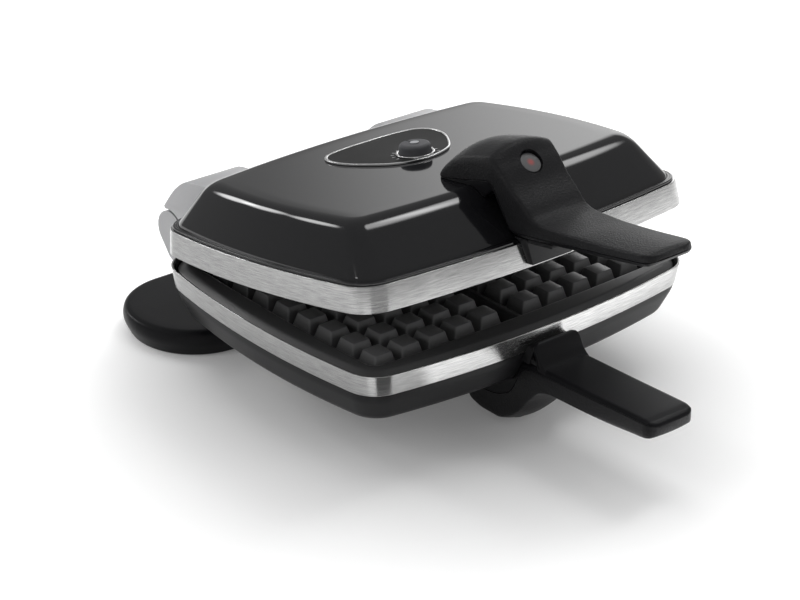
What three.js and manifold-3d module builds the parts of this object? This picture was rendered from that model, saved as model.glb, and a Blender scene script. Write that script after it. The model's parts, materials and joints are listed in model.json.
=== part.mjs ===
// Sandwich and waffle maker: two pressed halves with waffle plates, joined by two hinges at the rear.
// Millimetres, +Z up, the handles towards -Y, standing on the plane z = 0.
// Heights inside a half are counted from the plane where the closed halves meet.

import * as THREE from 'three';
import { mergeGeometries, mergeVertices } from 'three/addons/utils/BufferGeometryUtils.js';
import Module from 'manifold-3d';

const wasm = await Module();
wasm.setup();

const clearance = 0.3; // between pieces that touch
const overrun = 2; // how far a cutting solid passes the face it cuts
const midPlane = 72.5; // height of the meeting plane above the ground
const openDegrees = 9.137; // how far the lid stands open

// Plan of both halves: a rectangle with bowed sides and round corners.
const body = { halfWidth: 133.9, halfDepth: 106.4, sideBow: 6.4, frontBow: 8.7, cornerRadius: 22 };
const cornerShrinkShare = 0.35;
// Places that follow the straight rear edge, the straight front edge and the straight sides.
const behindRear = { hingeTop: -22.4, ridge: 1.6, flange: 11.6, baseRear: 18.5, tail: 36.4, pivot: 32.6,
  baseToe: 27.6, heel: 33.6, screwTip: -4.4, stand: 26.6, neckFoot: 8.6, neckTop: -25.4,
  element: -26.4 };
const behindFront = { guardFoot: -26.1, guardTip: -18.7, lamp: 1.9, pad: 19.4, element: 28.4 };
const insideSide = { hinge: 53.7, element: 28.9 };
const sideSteps = 4;
const cornerSteps = 4;

const band = { wall: 1, lipInset: 8.4, lowerNear: 0.7, lowerFar: 14.9, lowerTaper: 1.9,
  upperNear: 0.8, upperFar: 16.9, upperTaper: 1.6 };

const plate = { outerInset: 3.4, shoulderHeight: 3.6, bevelInset: 7.5, bevelHeight: 0.7,
  rimInset: 8.5, rimHeight: 0.4, fieldRimInset: 14, fieldEdgeInset: 15.5, fieldEdgeHeight: 1.4,
  fieldInset: 17.3, fieldRadius: 8, floorHeight: 13.1, floor: 4, backInset: 14.5,
  bossRadius: 5, boreDepth: 8.7 };
const fieldBowShare = 0.3;

// Square blocks fill the two waffles of a plate, side by side.
const waffle = { pitch: 21, topSide: 12.6, footSide: 18.5, topHeight: 2.1, middleGap: 34.5,
  ridgeTop: 4, ridgeFoot: 9, ridgeHeight: 5 };
const blockRun = body.halfWidth - plate.fieldInset - waffle.middleGap / 2 - waffle.footSide / 2;
const blockColumns = 1 + Math.floor(blockRun / waffle.pitch);
const blockDepth = body.halfDepth - plate.fieldInset - waffle.footSide / 2;
const blockRows = 1 + Math.floor((2 * blockDepth) / waffle.pitch);

const tray = { wall: 1, wallInset: 9.6, floorInset: 16, elementGap: 0.6 };

const element = { radius: 3.25, outerX: body.halfWidth - insideSide.element, innerX: 20,
  rearY: body.halfDepth + behindRear.element, frontY: behindFront.element - body.halfDepth, turnY: 38,
  bend: 14 };
element.middleX = (element.outerX + element.innerX) / 2;
plate.bossX = (element.outerX + element.middleX) / 2; // between two runs of the element
const elementSteps = 56;
const elementSides = 6;
const terminal = { halfWidth: 22, halfDepth: 8 };

const pan = { wall: 1.2, rimInset: 2.2, shoulderInset: 3.4, shoulderDrop: 4.8, flankInset: 8.6,
  flankDrop: 17.8, turnInset: 10.5, turnDrop: 20.2, floorInset: 14, floorDrop: 21.4 };

const cover = { wall: 1.2, footInset: 3, footHeight: 1.2, grooveInset: 5.4, grooveHeight: 1.7,
  slopeInset: 6.2, slopeHeight: 2.8, topSideInset: 23.8, topFrontInset: 30.5, topHeight: 30.3,
  edgeRun: 7, edgeRadius: 15 };
const edgeSlopeShare = 0.2;
const topBowShare = 0.85;
const edgeSteps = 4;

// The two handles. Each row of a table is one section from the nose to the end of the grip, in
// shares of the handle's reach and rise: parting line, outer edge, inner face, width and crown.
// The nose share of the reach lies behind the straight front edge.
const upperHandle = { noseShare: 0.343, reach: 176, gripHeight: 20.5, rise: 47.4, halfWidth: 24.5,
  crown: 7 };
const upperHandleShares = [
  [0.000, 0.590, 0.001, 0.612, 0.006, 0.560, 0.80, 0.21],
  [0.018, 0.593, 0.018, 0.665, 0.020, 0.545, 0.94, 0.51],
  [0.050, 0.602, 0.050, 0.760, 0.050, 0.535, 0.98, 0.80],
  [0.102, 0.620, 0.100, 0.865, 0.102, 0.525, 1.00, 0.94],
  [0.160, 0.645, 0.160, 0.930, 0.150, 0.515, 1.00, 1.00],
  [0.225, 0.680, 0.233, 0.975, 0.195, 0.490, 1.00, 0.97],
  [0.266, 0.694, 0.284, 1.000, 0.228, 0.440, 1.00, 0.86],
  [0.290, 0.643, 0.327, 0.886, 0.250, 0.370, 0.98, 0.36],
  [0.309, 0.475, 0.381, 0.631, 0.278, 0.240, 0.95, 0.24],
  [0.333, 0.253, 0.432, 0.443, 0.307, 0.100, 0.92, 0.24],
  [0.352, 0.105, 0.474, 0.285, 0.330, 0.020, 0.90, 0.26],
  [0.383, 0.072, 0.517, 0.230, 0.375, 0.000, 0.88, 0.26],
  [0.477, 0.063, 0.591, 0.205, 0.477, 0.000, 0.85, 0.26],
  [0.647, 0.070, 0.677, 0.186, 0.647, 0.000, 0.81, 0.26],
  [0.847, 0.082, 0.852, 0.171, 0.847, 0.011, 0.80, 0.26],
  [0.957, 0.089, 0.954, 0.175, 0.949, 0.023, 0.78, 0.23],
  [0.988, 0.091, 0.983, 0.175, 0.981, 0.032, 0.74, 0.20],
  [1.000, 0.095, 0.997, 0.162, 0.991, 0.049, 0.62, 0.13],
];
const lowerHandle = { noseShare: 0.2994, reach: 165, gripHeight: 17.6, rise: 49.2, halfWidth: 20,
  crown: 5 };
const lowerHandleShares = [
  [0.000, 0.618, 0.003, 0.699, 0.006, 0.453, 0.60, 0.23],
  [0.024, 0.679, 0.021, 0.841, 0.024, 0.415, 0.85, 0.80],
  [0.073, 0.720, 0.067, 0.950, 0.073, 0.377, 1.00, 1.00],
  [0.140, 0.715, 0.135, 1.000, 0.120, 0.335, 1.00, 1.00],
  [0.195, 0.690, 0.205, 1.000, 0.160, 0.305, 1.00, 1.00],
  [0.238, 0.640, 0.265, 0.925, 0.190, 0.290, 1.00, 0.90],
  [0.279, 0.557, 0.315, 0.795, 0.224, 0.283, 1.00, 0.75],
  [0.300, 0.440, 0.372, 0.560, 0.242, 0.215, 0.98, 0.50],
  [0.322, 0.270, 0.430, 0.385, 0.262, 0.120, 0.96, 0.35],
  [0.345, 0.165, 0.500, 0.328, 0.290, 0.060, 0.95, 0.35],
  [0.400, 0.130, 0.580, 0.318, 0.380, 0.048, 0.95, 0.35],
  [0.473, 0.116, 0.648, 0.313, 0.467, 0.044, 0.94, 0.35],
  [0.715, 0.081, 0.758, 0.297, 0.715, 0.025, 0.93, 0.35],
  [0.897, 0.055, 0.915, 0.248, 0.897, 0.004, 0.92, 0.35],
  [0.964, 0.047, 0.967, 0.230, 0.958, 0.000, 0.92, 0.30],
  [0.988, 0.047, 0.991, 0.211, 0.982, 0.012, 0.86, 0.25],
  [1.000, 0.061, 1.000, 0.191, 0.994, 0.032, 0.72, 0.15],
];
const crownShares = [-1, -0.72, -0.38, 0, 0.38, 0.72, 1];
const innerWidthShare = 0.94;

// Thumb guard that stands on the lower grip and leans back towards the band.
const guard = { footY: behindFront.guardFoot - body.halfDepth, footHalf: 3.5, footHeight: 21,
  halfWidth: 18.5, tipY: behindFront.guardTip - body.halfDepth, tipHalf: 1.5, tipHeight: 7.3 };
const guardRowShares = [[0, 1], [0.5, 1], [0.84, 0.95], [1, 0.78]]; // of the way up, of the width

const bracket = { padHalfFoot: 16, padHalfTop: 20, upperPadNear: 3, lowerPadNear: 11, padDepth: 4, shelf: 2.8,
  shelfHalfWidth: 18,
  upperShelfReach: 24, lowerShelfReach: 11, upperScrewReach: 13.5, lowerScrewReach: 7.65, screwX: 9,
  lowerLift: 2.3 };

const screw = { radius: 2, bore: 2.3, headRadius: 3.2, headHeight: 2.2, handleDepth: 13 };

const hinge = { pivotY: body.halfDepth + behindRear.pivot, centreX: body.halfWidth - insideSide.hinge,
  width: 42, cheek: 8, headRadius: 13, knuckleRadius: 12, sideGap: 0.4, socketRadius: 14.2, pinRadius: 3,
  pinBore: 3.3, blindWall: 1.8, pinTail: 2.4, clipRadius: 5, clipWidth: 1.3,
  topY: body.halfDepth + behindRear.hingeTop, topHeight: 37.6, ridgeY: body.halfDepth + behindRear.ridge,
  tailY: body.halfDepth + behindRear.tail, tailHeight: 16.1, flangeHeight: 3,
  flangeY: body.halfDepth + behindRear.flange, baseTop: 2, baseFoot: 22,
  baseToe: body.halfDepth + behindRear.baseToe, baseRearY: body.halfDepth + behindRear.baseRear,
  baseRearFoot: 14.5, heelY: body.halfDepth + behindRear.heel, heelHeight: 19, screwHeight: 9.5,
  screwTip: body.halfDepth + behindRear.screwTip, upperScrewHeight: 12.5, upperScrewDepth: 5,
  upperScrewSeat: 3.1 };
const socketDegrees = [80, 150];
const headDegrees = [-35, 165];
const ridgeRowShares = [[0.23, 0.935], [0.46, 0.75], [0.69, 0.47], [0.89, 0.17]]; // way back, height left

const stand = { centreY: body.halfDepth + behindRear.stand, halfWidth: 135, halfDepth: 48, height: 19.2,
  base: 0.6, footTuck: 9.4, footDepthTuck: 6, bulgeHeight: 17, edgeTuck: 5, shoulderTuck: 1.2,
  shoulderHeight: 18.6, padInset: 40 };
const neck = { footHalfWidth: 48, footHalfDepth: 19, footY: body.halfDepth + behindRear.neckFoot,
  topHalfWidth: 40, topHalfDepth: 15, topY: body.halfDepth + behindRear.neckTop, radius: 10, screwX: 24,
  screwDepth: 10 };
const pad = { radius: 9, height: 3.4, standX: stand.halfWidth - stand.padInset, frontRadius: 8,
  frontY: behindFront.pad - body.halfDepth };
const gland = { height: 25, radius: 6.5, bore: 3.6, collarRadius: 9, collar: 2.8, tail: 14, inner: 7 };

const badge = { halfWidth: 43, length: 63.2, frontY: -10.7, thickness: 0.8, rim: 1, rimHeight: 1.1 };
const badgeHalfShares = [[0, 1], [0.45, 0.99], [0.82, 0.94], [0.98, 0.82], [1, 0.66], [0.92, 0.48],
  [0.75, 0.29], [0.54, 0.12], [0.28, 0.03], [0, 0]];
const badgeSteps = 44;

const dial = { centreY: 3, ringRadius: 12.5, ringBore: 10.9, ringHeight: 1, knobRadius: 10.5,
  knobHeight: 8.7, knobEdge: 1.2, knobLift: 0.7, knobWall: 1.6, recessHeight: 2.7, groove: 1.4,
  grooveDepth: 1, spindleRadius: 3, spindleBore: 3.4, spindleFoot: 35, neckRadius: 5.2, neckHeight: 3,
  nutRadius: 7.6, nutHeight: 2.3, bodyRadius: 18, bodyFoot: 29, bodyTop: 42, probeRadius: 7 };

const lamp = { centreY: behindFront.lamp - body.halfDepth, height: 59.6, tiltDegrees: 45,
  pocketRadius: 7.8, pocketDepth: 3.4, pocketRise: 4.8, bezelRadius: 7.5, bezelBore: 5.4, bezelHeight: 2.6,
  lensRadius: 5.1, lensHeight: 1.6, bulbRadius: 2.2, bulbLength: 5 };

const roundSides = 20;
const smallSides = 10;
const nutSides = 6;

const blackGloss = { color: 0x0b0b0c, roughness: 0.12, metalness: 0.3 };
const blackSatin = { color: 0x111112, roughness: 0.45, metalness: 0.2 };
const blackPlastic = { color: 0x161617, roughness: 0.55, metalness: 0 };
const nonStick = { color: 0x1b1b1d, roughness: 0.4, metalness: 0.4 };
const brushedSteel = { color: 0xb9babb, roughness: 0.35, metalness: 1 };
const plainSteel = { color: 0x8d9094, roughness: 0.4, metalness: 1 };
const silverPaint = { color: 0xa9abad, roughness: 0.45, metalness: 0.5 };
const ceramic = { color: 0xe6e2d8, roughness: 0.8, metalness: 0 };
const darkKnob = { color: 0x2d2e30, roughness: 0.5, metalness: 0 };
const blackRubber = { color: 0x101010, roughness: 0.9, metalness: 0 };
const greyLens = { color: 0x4a4b4d, roughness: 0.2, metalness: 0 };
const redGlass = { color: 0xc01818, roughness: 0.2, metalness: 0 };

const degrees = Math.PI / 180;

// Geometry helpers

function signedVolume(geometry) {
  const position = geometry.getAttribute('position');
  const index = geometry.index;
  const [a, b, c] = [new THREE.Vector3(), new THREE.Vector3(), new THREE.Vector3()];
  let volume = 0;
  for (let k = 0; k < index.count; k += 3) {
    a.fromBufferAttribute(position, index.getX(k));
    b.fromBufferAttribute(position, index.getX(k + 1));
    c.fromBufferAttribute(position, index.getX(k + 2));
    volume += a.dot(b.cross(c));
  }
  return volume;
}

function outward(geometry) {
  if (signedVolume(geometry) < 0) {
    const order = geometry.index.array;
    for (let k = 0; k < order.length; k += 3) {
      [order[k + 1], order[k + 2]] = [order[k + 2], order[k + 1]];
    }
  }
  return geometry;
}

const planView = (point) => new THREE.Vector2(point.x, point.y);
const frontView = (point) => new THREE.Vector2(point.x, point.z);

// Triangles that close one ring, turned the way the ring runs.
function capFaces(ring, flatten, first) {
  const flat = ring.map(flatten);
  const faces = THREE.ShapeUtils.triangulateShape(flat, []);
  const area = (points) => THREE.ShapeUtils.area(points);
  const covered = faces.reduce((sum, face) => sum + area(face.map((k) => flat[k])), 0);
  const same = Math.sign(covered) === Math.sign(area(flat));
  return faces.map(([a, b, c]) => (same ? [a, b, c] : [a, c, b]).map((k) => k + first));
}

// Joins rings of equally many points. An open skin gets a cap at each end, a looped one joins its ends.
function skin(rings, { looped = false, flatten = planView } = {}) {
  const size = rings[0].length;
  const faces = [];
  const spans = looped ? rings.length : rings.length - 1;
  for (let r = 0; r < spans; r += 1) {
    const here = r * size;
    const there = ((r + 1) % rings.length) * size;
    for (let k = 0; k < size; k += 1) {
      const next = (k + 1) % size;
      faces.push([here + k, here + next, there + next], [here + k, there + next, there + k]);
    }
  }
  if (!looped) {
    const last = rings.length - 1;
    const foot = capFaces(rings[0], flatten, 0).map(([a, b, c]) => [a, c, b]);
    faces.push(...foot, ...capFaces(rings[last], flatten, last * size));
  }
  const geometry = new THREE.BufferGeometry();
  const positions = rings.flat().flatMap((point) => point.toArray());
  geometry.setAttribute('position', new THREE.Float32BufferAttribute(positions, 3));
  geometry.setIndex(faces.flat());
  return outward(geometry);
}

function solidOf(geometry) {
  const bare = new THREE.BufferGeometry();
  bare.setAttribute('position', geometry.getAttribute('position'));
  bare.setIndex(geometry.index);
  const merged = mergeVertices(bare);
  return new wasm.Manifold(new wasm.Mesh({
    numProp: 3,
    vertProperties: new Float32Array(merged.getAttribute('position').array),
    triVerts: new Uint32Array(merged.index.array),
  }));
}

function geometryOf(solid) {
  const { vertProperties, triVerts } = solid.getMesh();
  const geometry = new THREE.BufferGeometry();
  geometry.setAttribute('position', new THREE.BufferAttribute(new Float32Array(vertProperties), 3));
  geometry.setIndex(new THREE.BufferAttribute(new Uint32Array(triVerts), 1));
  return geometry;
}

function carve(geometry, ...cutters) {
  return geometryOf(cutters.reduce((rest, cutter) => rest.subtract(solidOf(cutter)), solidOf(geometry)));
}

function join(geometry, ...others) {
  return geometryOf(others.reduce((whole, other) => whole.add(solidOf(other)), solidOf(geometry)));
}

function rod(radius, start, end, sides = smallSides) {
  const along = end.clone().sub(start);
  const geometry = new THREE.CylinderGeometry(radius, radius, along.length(), sides);
  const turn = new THREE.Quaternion().setFromUnitVectors(new THREE.Vector3(0, 1, 0), along.normalize());
  const middle = start.clone().lerp(end, 0.5);
  return geometry.applyQuaternion(turn).translate(middle.x, middle.y, middle.z);
}

function block([x0, x1], [y0, y1], [z0, z1]) {
  const geometry = new THREE.BoxGeometry(Math.abs(x1 - x0), Math.abs(y1 - y0), Math.abs(z1 - z0));
  return geometry.translate((x0 + x1) / 2, (y0 + y1) / 2, (z0 + z1) / 2);
}

// A body turned about the vertical, from a profile of (radius, height) points.
function turned(profile) {
  const points = profile.map(([radius, height]) => new THREE.Vector2(radius, height));
  return outward(new THREE.LatheGeometry(points, roundSides).rotateX(Math.PI / 2));
}

// A screw or bolt: head first, then the shank, along the line from head to tip.
function screwBody(headFace, tip) {
  const way = tip.clone().sub(headFace).normalize();
  const headTop = headFace.clone().addScaledVector(way, -screw.headHeight);
  const shankStart = headFace.clone().addScaledVector(way, -screw.headHeight / 2);
  return join(rod(screw.headRadius, headTop, headFace), rod(screw.radius, shankStart, tip));
}

const at = (x, y, z) => new THREE.Vector3(x, y, z);

// Extrudes a side-view outline of (y, z) points from one x to another.
function sideExtrusion(points, fromX, toX) {
  const shape = new THREE.Shape(points.map(([y, z]) => new THREE.Vector2(y, z)));
  const geometry = new THREE.ExtrudeGeometry(shape, { depth: toX - fromX, bevelEnabled: false });
  const turn = new THREE.Matrix4().makeBasis(at(0, 1, 0), at(0, 0, 1), at(1, 0, 0));
  return geometry.applyMatrix4(turn).translate(fromX, 0, 0);
}

// Height above the ground of a height inside the upper half (side 1) or the lower half (side -1).
const level = (side, height) => midPlane + side * height;

// Plan outline of a half, drawn in by an inset, at a height inside the half.
function bowedRing(side, { inset, frontInset = inset, height, bow = 1, radius }) {
  const round = radius ?? body.cornerRadius - cornerShrinkShare * inset;
  const halfX = body.halfWidth - inset - round;
  const halfY = body.halfDepth - frontInset - round;
  const corners = [[-halfX, -halfY], [halfX, -halfY], [halfX, halfY], [-halfX, halfY]];
  const sides = corners.map(([x, y], k) => {
    const [nextX, nextY] = corners[(k + 1) % corners.length];
    const halfChord = Math.hypot(nextX - x, nextY - y) / 2;
    const sagitta = bow * (k % 2 === 0 ? body.frontBow : body.sideBow);
    const arcRadius = (halfChord ** 2 + sagitta ** 2) / (2 * sagitta);
    const facing = (k - 1) * 90 * degrees;
    const back = arcRadius - sagitta;
    const centre = [(x + nextX) / 2 - back * Math.cos(facing), (y + nextY) / 2 - back * Math.sin(facing)];
    return { centre, arcRadius, facing, halfAngle: Math.asin(halfChord / arcRadius), end: [nextX, nextY] };
  });
  const ring = [];
  const addArc = ([x, y], reach, from, to, first, last, steps) => {
    for (let k = first; k <= last; k += 1) {
      const angle = from + ((to - from) * k) / steps;
      ring.push(at(x + reach * Math.cos(angle), y + reach * Math.sin(angle), level(side, height)));
    }
  };
  sides.forEach(({ centre, arcRadius, facing, halfAngle, end }, k) => {
    addArc(centre, arcRadius + round, facing - halfAngle, facing + halfAngle, 0, sideSteps, sideSteps);
    const nextStart = facing + 90 * degrees - sides[(k + 1) % sides.length].halfAngle;
    addArc(end, round, facing + halfAngle, nextStart, 1, cornerSteps - 1, cornerSteps);
  });
  return ring;
}

// Rounded rectangle in plan at a height above the ground.
function roundedRing(centreY, halfX, halfY, radius, height) {
  const ring = [];
  const corners = [[1, 1], [-1, 1], [-1, -1], [1, -1]];
  corners.forEach(([signX, signY], corner) => {
    for (let k = 0; k <= cornerSteps; k += 1) {
      const angle = (corner + k / cornerSteps) * 90 * degrees;
      const x = signX * (halfX - radius) + radius * Math.cos(angle);
      const y = centreY + signY * (halfY - radius) + radius * Math.sin(angle);
      ring.push(at(x, y, height));
    }
  });
  return ring;
}

// What the two halves share, worked out from the stack: band lip, tray flange, plate.
function stackOf(side) {
  const [near, far, taper] = side > 0
    ? [band.upperNear, band.upperFar, band.upperTaper]
    : [band.lowerNear, band.lowerFar, band.lowerTaper];
  const trayFar = far - band.wall - clearance;
  const trayNear = trayFar - tray.wall;
  const back = plate.floorHeight + plate.floor;
  const elementHeight = back + clearance + element.radius;
  const trayFloor = elementHeight + element.radius + tray.elementGap;
  return { near, far, taper, trayFar, trayNear, seat: trayNear - clearance, back, elementHeight, trayFloor,
    shellFoot: far + clearance };
}
const stacks = new Map([[1, stackOf(1)], [-1, stackOf(-1)]]);

// Outlines of the pressed cover and pan, grown outwards by an offset.
function coverRings(offset) {
  const foot = stacks.get(1).shellFoot;
  const slope = { side: cover.slopeInset, front: cover.slopeInset, height: cover.slopeHeight };
  const edge = { side: cover.topSideInset, front: cover.topFrontInset, height: cover.topHeight };
  const rows = [
    { inset: cover.footInset, height: 0 },
    { inset: cover.footInset, height: cover.footHeight },
    { inset: cover.grooveInset, height: cover.grooveHeight },
    { inset: cover.slopeInset, height: cover.slopeHeight },
  ];
  const bend = (key, run) => new THREE.QuadraticBezierCurve(
    new THREE.Vector2(edge[key] - (edge[key] - slope[key]) * edgeSlopeShare,
      edge.height - (edge.height - slope.height) * edgeSlopeShare),
    new THREE.Vector2(edge[key], edge.height),
    new THREE.Vector2(edge[key] + run, edge.height),
  );
  const sideBend = bend('side', cover.edgeRun);
  const frontBend = bend('front', cover.edgeRun);
  for (let k = 0; k <= edgeSteps; k += 1) {
    const sidePoint = sideBend.getPoint(k / edgeSteps);
    const frontPoint = frontBend.getPoint(k / edgeSteps);
    rows.push({ inset: sidePoint.x, frontInset: frontPoint.x, height: sidePoint.y,
      bow: topBowShare, radius: cover.edgeRadius });
  }
  return rows.map(({ inset, frontInset = inset, height, bow, radius }) => bowedRing(1, {
    inset: inset - offset,
    frontInset: frontInset - offset,
    height: foot + height + (height > 0 ? offset : 0),
    bow,
    radius,
  }));
}

function panRings(offset) {
  const foot = stacks.get(-1).shellFoot;
  const rows = [[pan.rimInset, 0], [pan.shoulderInset, pan.shoulderDrop], [pan.flankInset, pan.flankDrop],
    [pan.turnInset, pan.turnDrop], [pan.floorInset, pan.floorDrop]];
  return rows.map(([inset, drop]) => bowedRing(-1, {
    inset: inset - offset,
    height: foot + drop + (drop > pan.shoulderDrop ? offset : 0),
  }));
}

// Solid outline of a closed half, a little larger than the real one, that shapes what is fixed to it.
function halfEnvelope(side, offset) {
  const { near, far, taper } = stacks.get(side);
  const shell = side > 0 ? coverRings(offset) : panRings(offset);
  return skin([
    bowedRing(side, { inset: -offset, height: near - clearance }),
    bowedRing(side, { inset: taper - offset, height: far + offset / 2 }),
    ...shell,
  ]);
}

const coverTop = stacks.get(1).shellFoot + cover.topHeight;
const panFloor = stacks.get(-1).shellFoot + pan.floorDrop;

// The two halves

function bandGeometry(side) {
  const { near, far, taper } = stacks.get(side);
  return skin([
    bowedRing(side, { inset: 0, height: near }),
    bowedRing(side, { inset: taper, height: far }),
    bowedRing(side, { inset: band.lipInset, height: far }),
    bowedRing(side, { inset: band.lipInset, height: far - band.wall }),
    bowedRing(side, { inset: taper + band.wall, height: far - band.wall }),
    bowedRing(side, { inset: band.wall, height: near }),
  ], { looped: true });
}

function blocksGeometry(side) {
  const { topHeight, topSide, footSide, pitch, middleGap } = waffle;
  const depth = plate.floorHeight - topHeight;
  const footing = plate.floor / 2;
  const spread = ((footSide - topSide) * (depth + footing)) / depth;
  const corner = Math.SQRT1_2; // from the side of a square to its corner radius
  const pieces = [];
  for (const way of [-1, 1]) {
    for (let column = 0; column < blockColumns; column += 1) {
      for (let row = 0; row < blockRows; row += 1) {
        const stub = new THREE.CylinderGeometry(topSide * corner, (topSide + spread) * corner,
          depth + footing, 4);
        stub.rotateY(45 * degrees).rotateX((-side * Math.PI) / 2);
        const x = way * (middleGap / 2 + column * pitch);
        const y = (row - (blockRows - 1) / 2) * pitch;
        pieces.push(stub.translate(x, y, level(side, topHeight + (depth + footing) / 2)));
      }
    }
  }
  return mergeGeometries(pieces);
}

function ridgeGeometry(side) {
  const reach = body.halfDepth - plate.fieldEdgeInset + overrun;
  const foot = plate.floorHeight + plate.floor / 2;
  const section = (y) => [
    at(-waffle.ridgeFoot / 2, y, level(side, foot)),
    at(-waffle.ridgeTop / 2, y, level(side, waffle.ridgeHeight)),
    at(waffle.ridgeTop / 2, y, level(side, waffle.ridgeHeight)),
    at(waffle.ridgeFoot / 2, y, level(side, foot)),
  ];
  return skin([section(-reach), section(reach)], { flatten: frontView });
}

// The cast plate: raised rim, sunk field with its blocks, back face and two screw bosses.
function plateGeometry(side) {
  const { seat, back, trayFloor } = stacks.get(side);
  const ring = (inset, height, more = {}) => bowedRing(side, { inset, height, ...more });
  const field = { bow: fieldBowShare, radius: plate.fieldRadius };
  const casting = skin([
    ring(plate.backInset, back),
    ring(plate.backInset, seat),
    ring(plate.outerInset, seat),
    ring(plate.outerInset, plate.shoulderHeight),
    ring(plate.bevelInset, plate.bevelHeight),
    ring(plate.rimInset, plate.rimHeight),
    ring(plate.fieldRimInset, plate.rimHeight, field),
    ring(plate.fieldEdgeInset, plate.fieldEdgeHeight, field),
    ring(plate.fieldInset, plate.floorHeight, field),
  ]);
  const bossEnd = trayFloor - clearance;
  const bossRod = (radius, way, from, to) => rod(radius, at(way * plate.bossX, 0, level(side, from)),
    at(way * plate.bossX, 0, level(side, to)));
  const bosses = [-1, 1].map((way) => bossRod(plate.bossRadius, way, back - overrun, bossEnd));
  const bores = [-1, 1].map((way) => (
    bossRod(screw.bore, way, bossEnd + overrun, bossEnd - plate.boreDepth)));
  return carve(join(casting, blocksGeometry(side), ridgeGeometry(side), ...bosses), ...bores);
}

// Tray behind the plate that holds the heating element and throws its heat back.
function trayGeometry(side, extraCutters = []) {
  const { trayNear, trayFar, trayFloor } = stacks.get(side);
  const floorFar = trayFloor + tray.wall;
  const ring = (inset, height) => bowedRing(side, { inset, height });
  const pressed = skin([
    ring(tray.floorInset + tray.wall, trayFloor),
    ring(tray.wallInset + tray.wall, trayNear),
    ring(plate.outerInset, trayNear),
    ring(plate.outerInset, trayFar),
    ring(tray.wallInset, trayFar),
    ring(tray.floorInset, floorFar),
  ]);
  const holes = [-1, 1].map((way) => rod(screw.bore + clearance,
    at(way * plate.bossX, 0, level(side, trayFloor - overrun)),
    at(way * plate.bossX, 0, level(side, floorFar + overrun))));
  return carve(pressed, ...holes, ...extraCutters);
}

// Tubular heating element: one bent line from terminal to terminal, lying on the back of the plate.
function elementGeometry(side) {
  const { elementHeight } = stacks.get(side);
  const { outerX, middleX, innerX, rearY, frontY, turnY, bend } = element;
  const halfRoute = [[terminal.halfWidth + clearance, rearY], [outerX, rearY], [outerX, frontY],
    [middleX, frontY], [middleX, turnY], [innerX, turnY], [innerX, frontY]];
  const mirrored = halfRoute.map(([x, y]) => [-x, y]).reverse();
  const route = [...halfRoute, ...mirrored].map(([x, y]) => at(x, y, level(side, elementHeight)));
  const path = new THREE.CurvePath();
  let from = route[0];
  for (let k = 1; k < route.length - 1; k += 1) {
    const corner = route[k];
    const before = corner.clone().add(route[k - 1].clone().sub(corner).setLength(bend));
    const after = corner.clone().add(route[k + 1].clone().sub(corner).setLength(bend));
    path.add(new THREE.LineCurve3(from, before));
    path.add(new THREE.QuadraticBezierCurve3(before, corner, after));
    from = after;
  }
  path.add(new THREE.LineCurve3(from, route[route.length - 1]));
  const section = new THREE.Shape();
  for (let k = 0; k < elementSides; k += 1) {
    const angle = (k / elementSides) * 2 * Math.PI;
    const place = [element.radius * Math.cos(angle), element.radius * Math.sin(angle)];
    if (k === 0) section.moveTo(...place);
    else section.lineTo(...place);
  }
  return new THREE.ExtrudeGeometry(section,
    { steps: elementSteps, bevelEnabled: false, extrudePath: path });
}

function terminalGeometry(side) {
  const { back, trayFloor } = stacks.get(side);
  return block([-terminal.halfWidth, terminal.halfWidth],
    [element.rearY - terminal.halfDepth, element.rearY + terminal.halfDepth],
    [level(side, back + clearance), level(side, trayFloor - clearance)]);
}

function panGeometry() {
  const inner = panRings(-pan.wall).reverse();
  const shell = skin([...inner, ...panRings(0)]);
  const floorSpan = (x, y, radius) => rod(radius, at(x, y, level(-1, panFloor - pan.wall - overrun)),
    at(x, y, level(-1, panFloor + overrun)));
  const plateHoles = [-1, 1].map((way) => floorSpan(way * plate.bossX, 0, screw.bore));
  const neckHoles = [-1, 1].map((way) => floorSpan(way * neck.screwX, neck.topY, screw.bore));
  const glandHole = rod(gland.radius + clearance, at(0, body.halfDepth / 2, level(-1, gland.height)),
    at(0, body.halfDepth * 2, level(-1, gland.height)), roundSides);
  return carve(shell, ...plateHoles, ...neckHoles, glandHole);
}

function coverGeometry() {
  const inner = coverRings(-cover.wall).reverse();
  const shell = skin([...inner, ...coverRings(0)]);
  const neckHole = rod(dial.neckRadius + clearance,
    at(0, dial.centreY, level(1, coverTop - cover.wall - overrun)),
    at(0, dial.centreY, level(1, coverTop + overrun)), roundSides);
  const screwHoles = [-1, 1].map((way) => {
    const { face, normal } = coverScrewPlace(way);
    return rod(screw.bore, face.clone().addScaledVector(normal, -hinge.upperScrewDepth),
      face.clone().addScaledVector(normal, overrun));
  });
  return carve(shell, neckHole, ...screwHoles);
}

// Where an upper hinge screw crosses the rear slope of the cover, and which way the slope faces.
function coverScrewPlace(way) {
  const run = cover.topFrontInset - cover.slopeInset;
  const rise = cover.topHeight - cover.slopeHeight;
  const normal = at(0, rise, run).normalize();
  const along = hinge.upperScrewHeight / rise;
  const bowAt = (bow) => bow * (1 - (hinge.centreX / (body.halfWidth - body.cornerRadius)) ** 2);
  const footY = body.halfDepth - cover.slopeInset + bowAt(body.frontBow);
  const edgeY = body.halfDepth - cover.topFrontInset + bowAt(body.frontBow * topBowShare);
  const height = stacks.get(1).shellFoot + cover.slopeHeight + hinge.upperScrewHeight;
  return { face: at(way * hinge.centreX, footY + (edgeY - footY) * along, level(1, height)), normal };
}

// Handles

function handlePoint(handle, side, yShare, heightShare) {
  const height = handle.gripHeight + heightShare * handle.rise;
  const y = (handle.noseShare - yShare) * handle.reach - body.halfDepth;
  return at(0, y, level(side, height));
}

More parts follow.
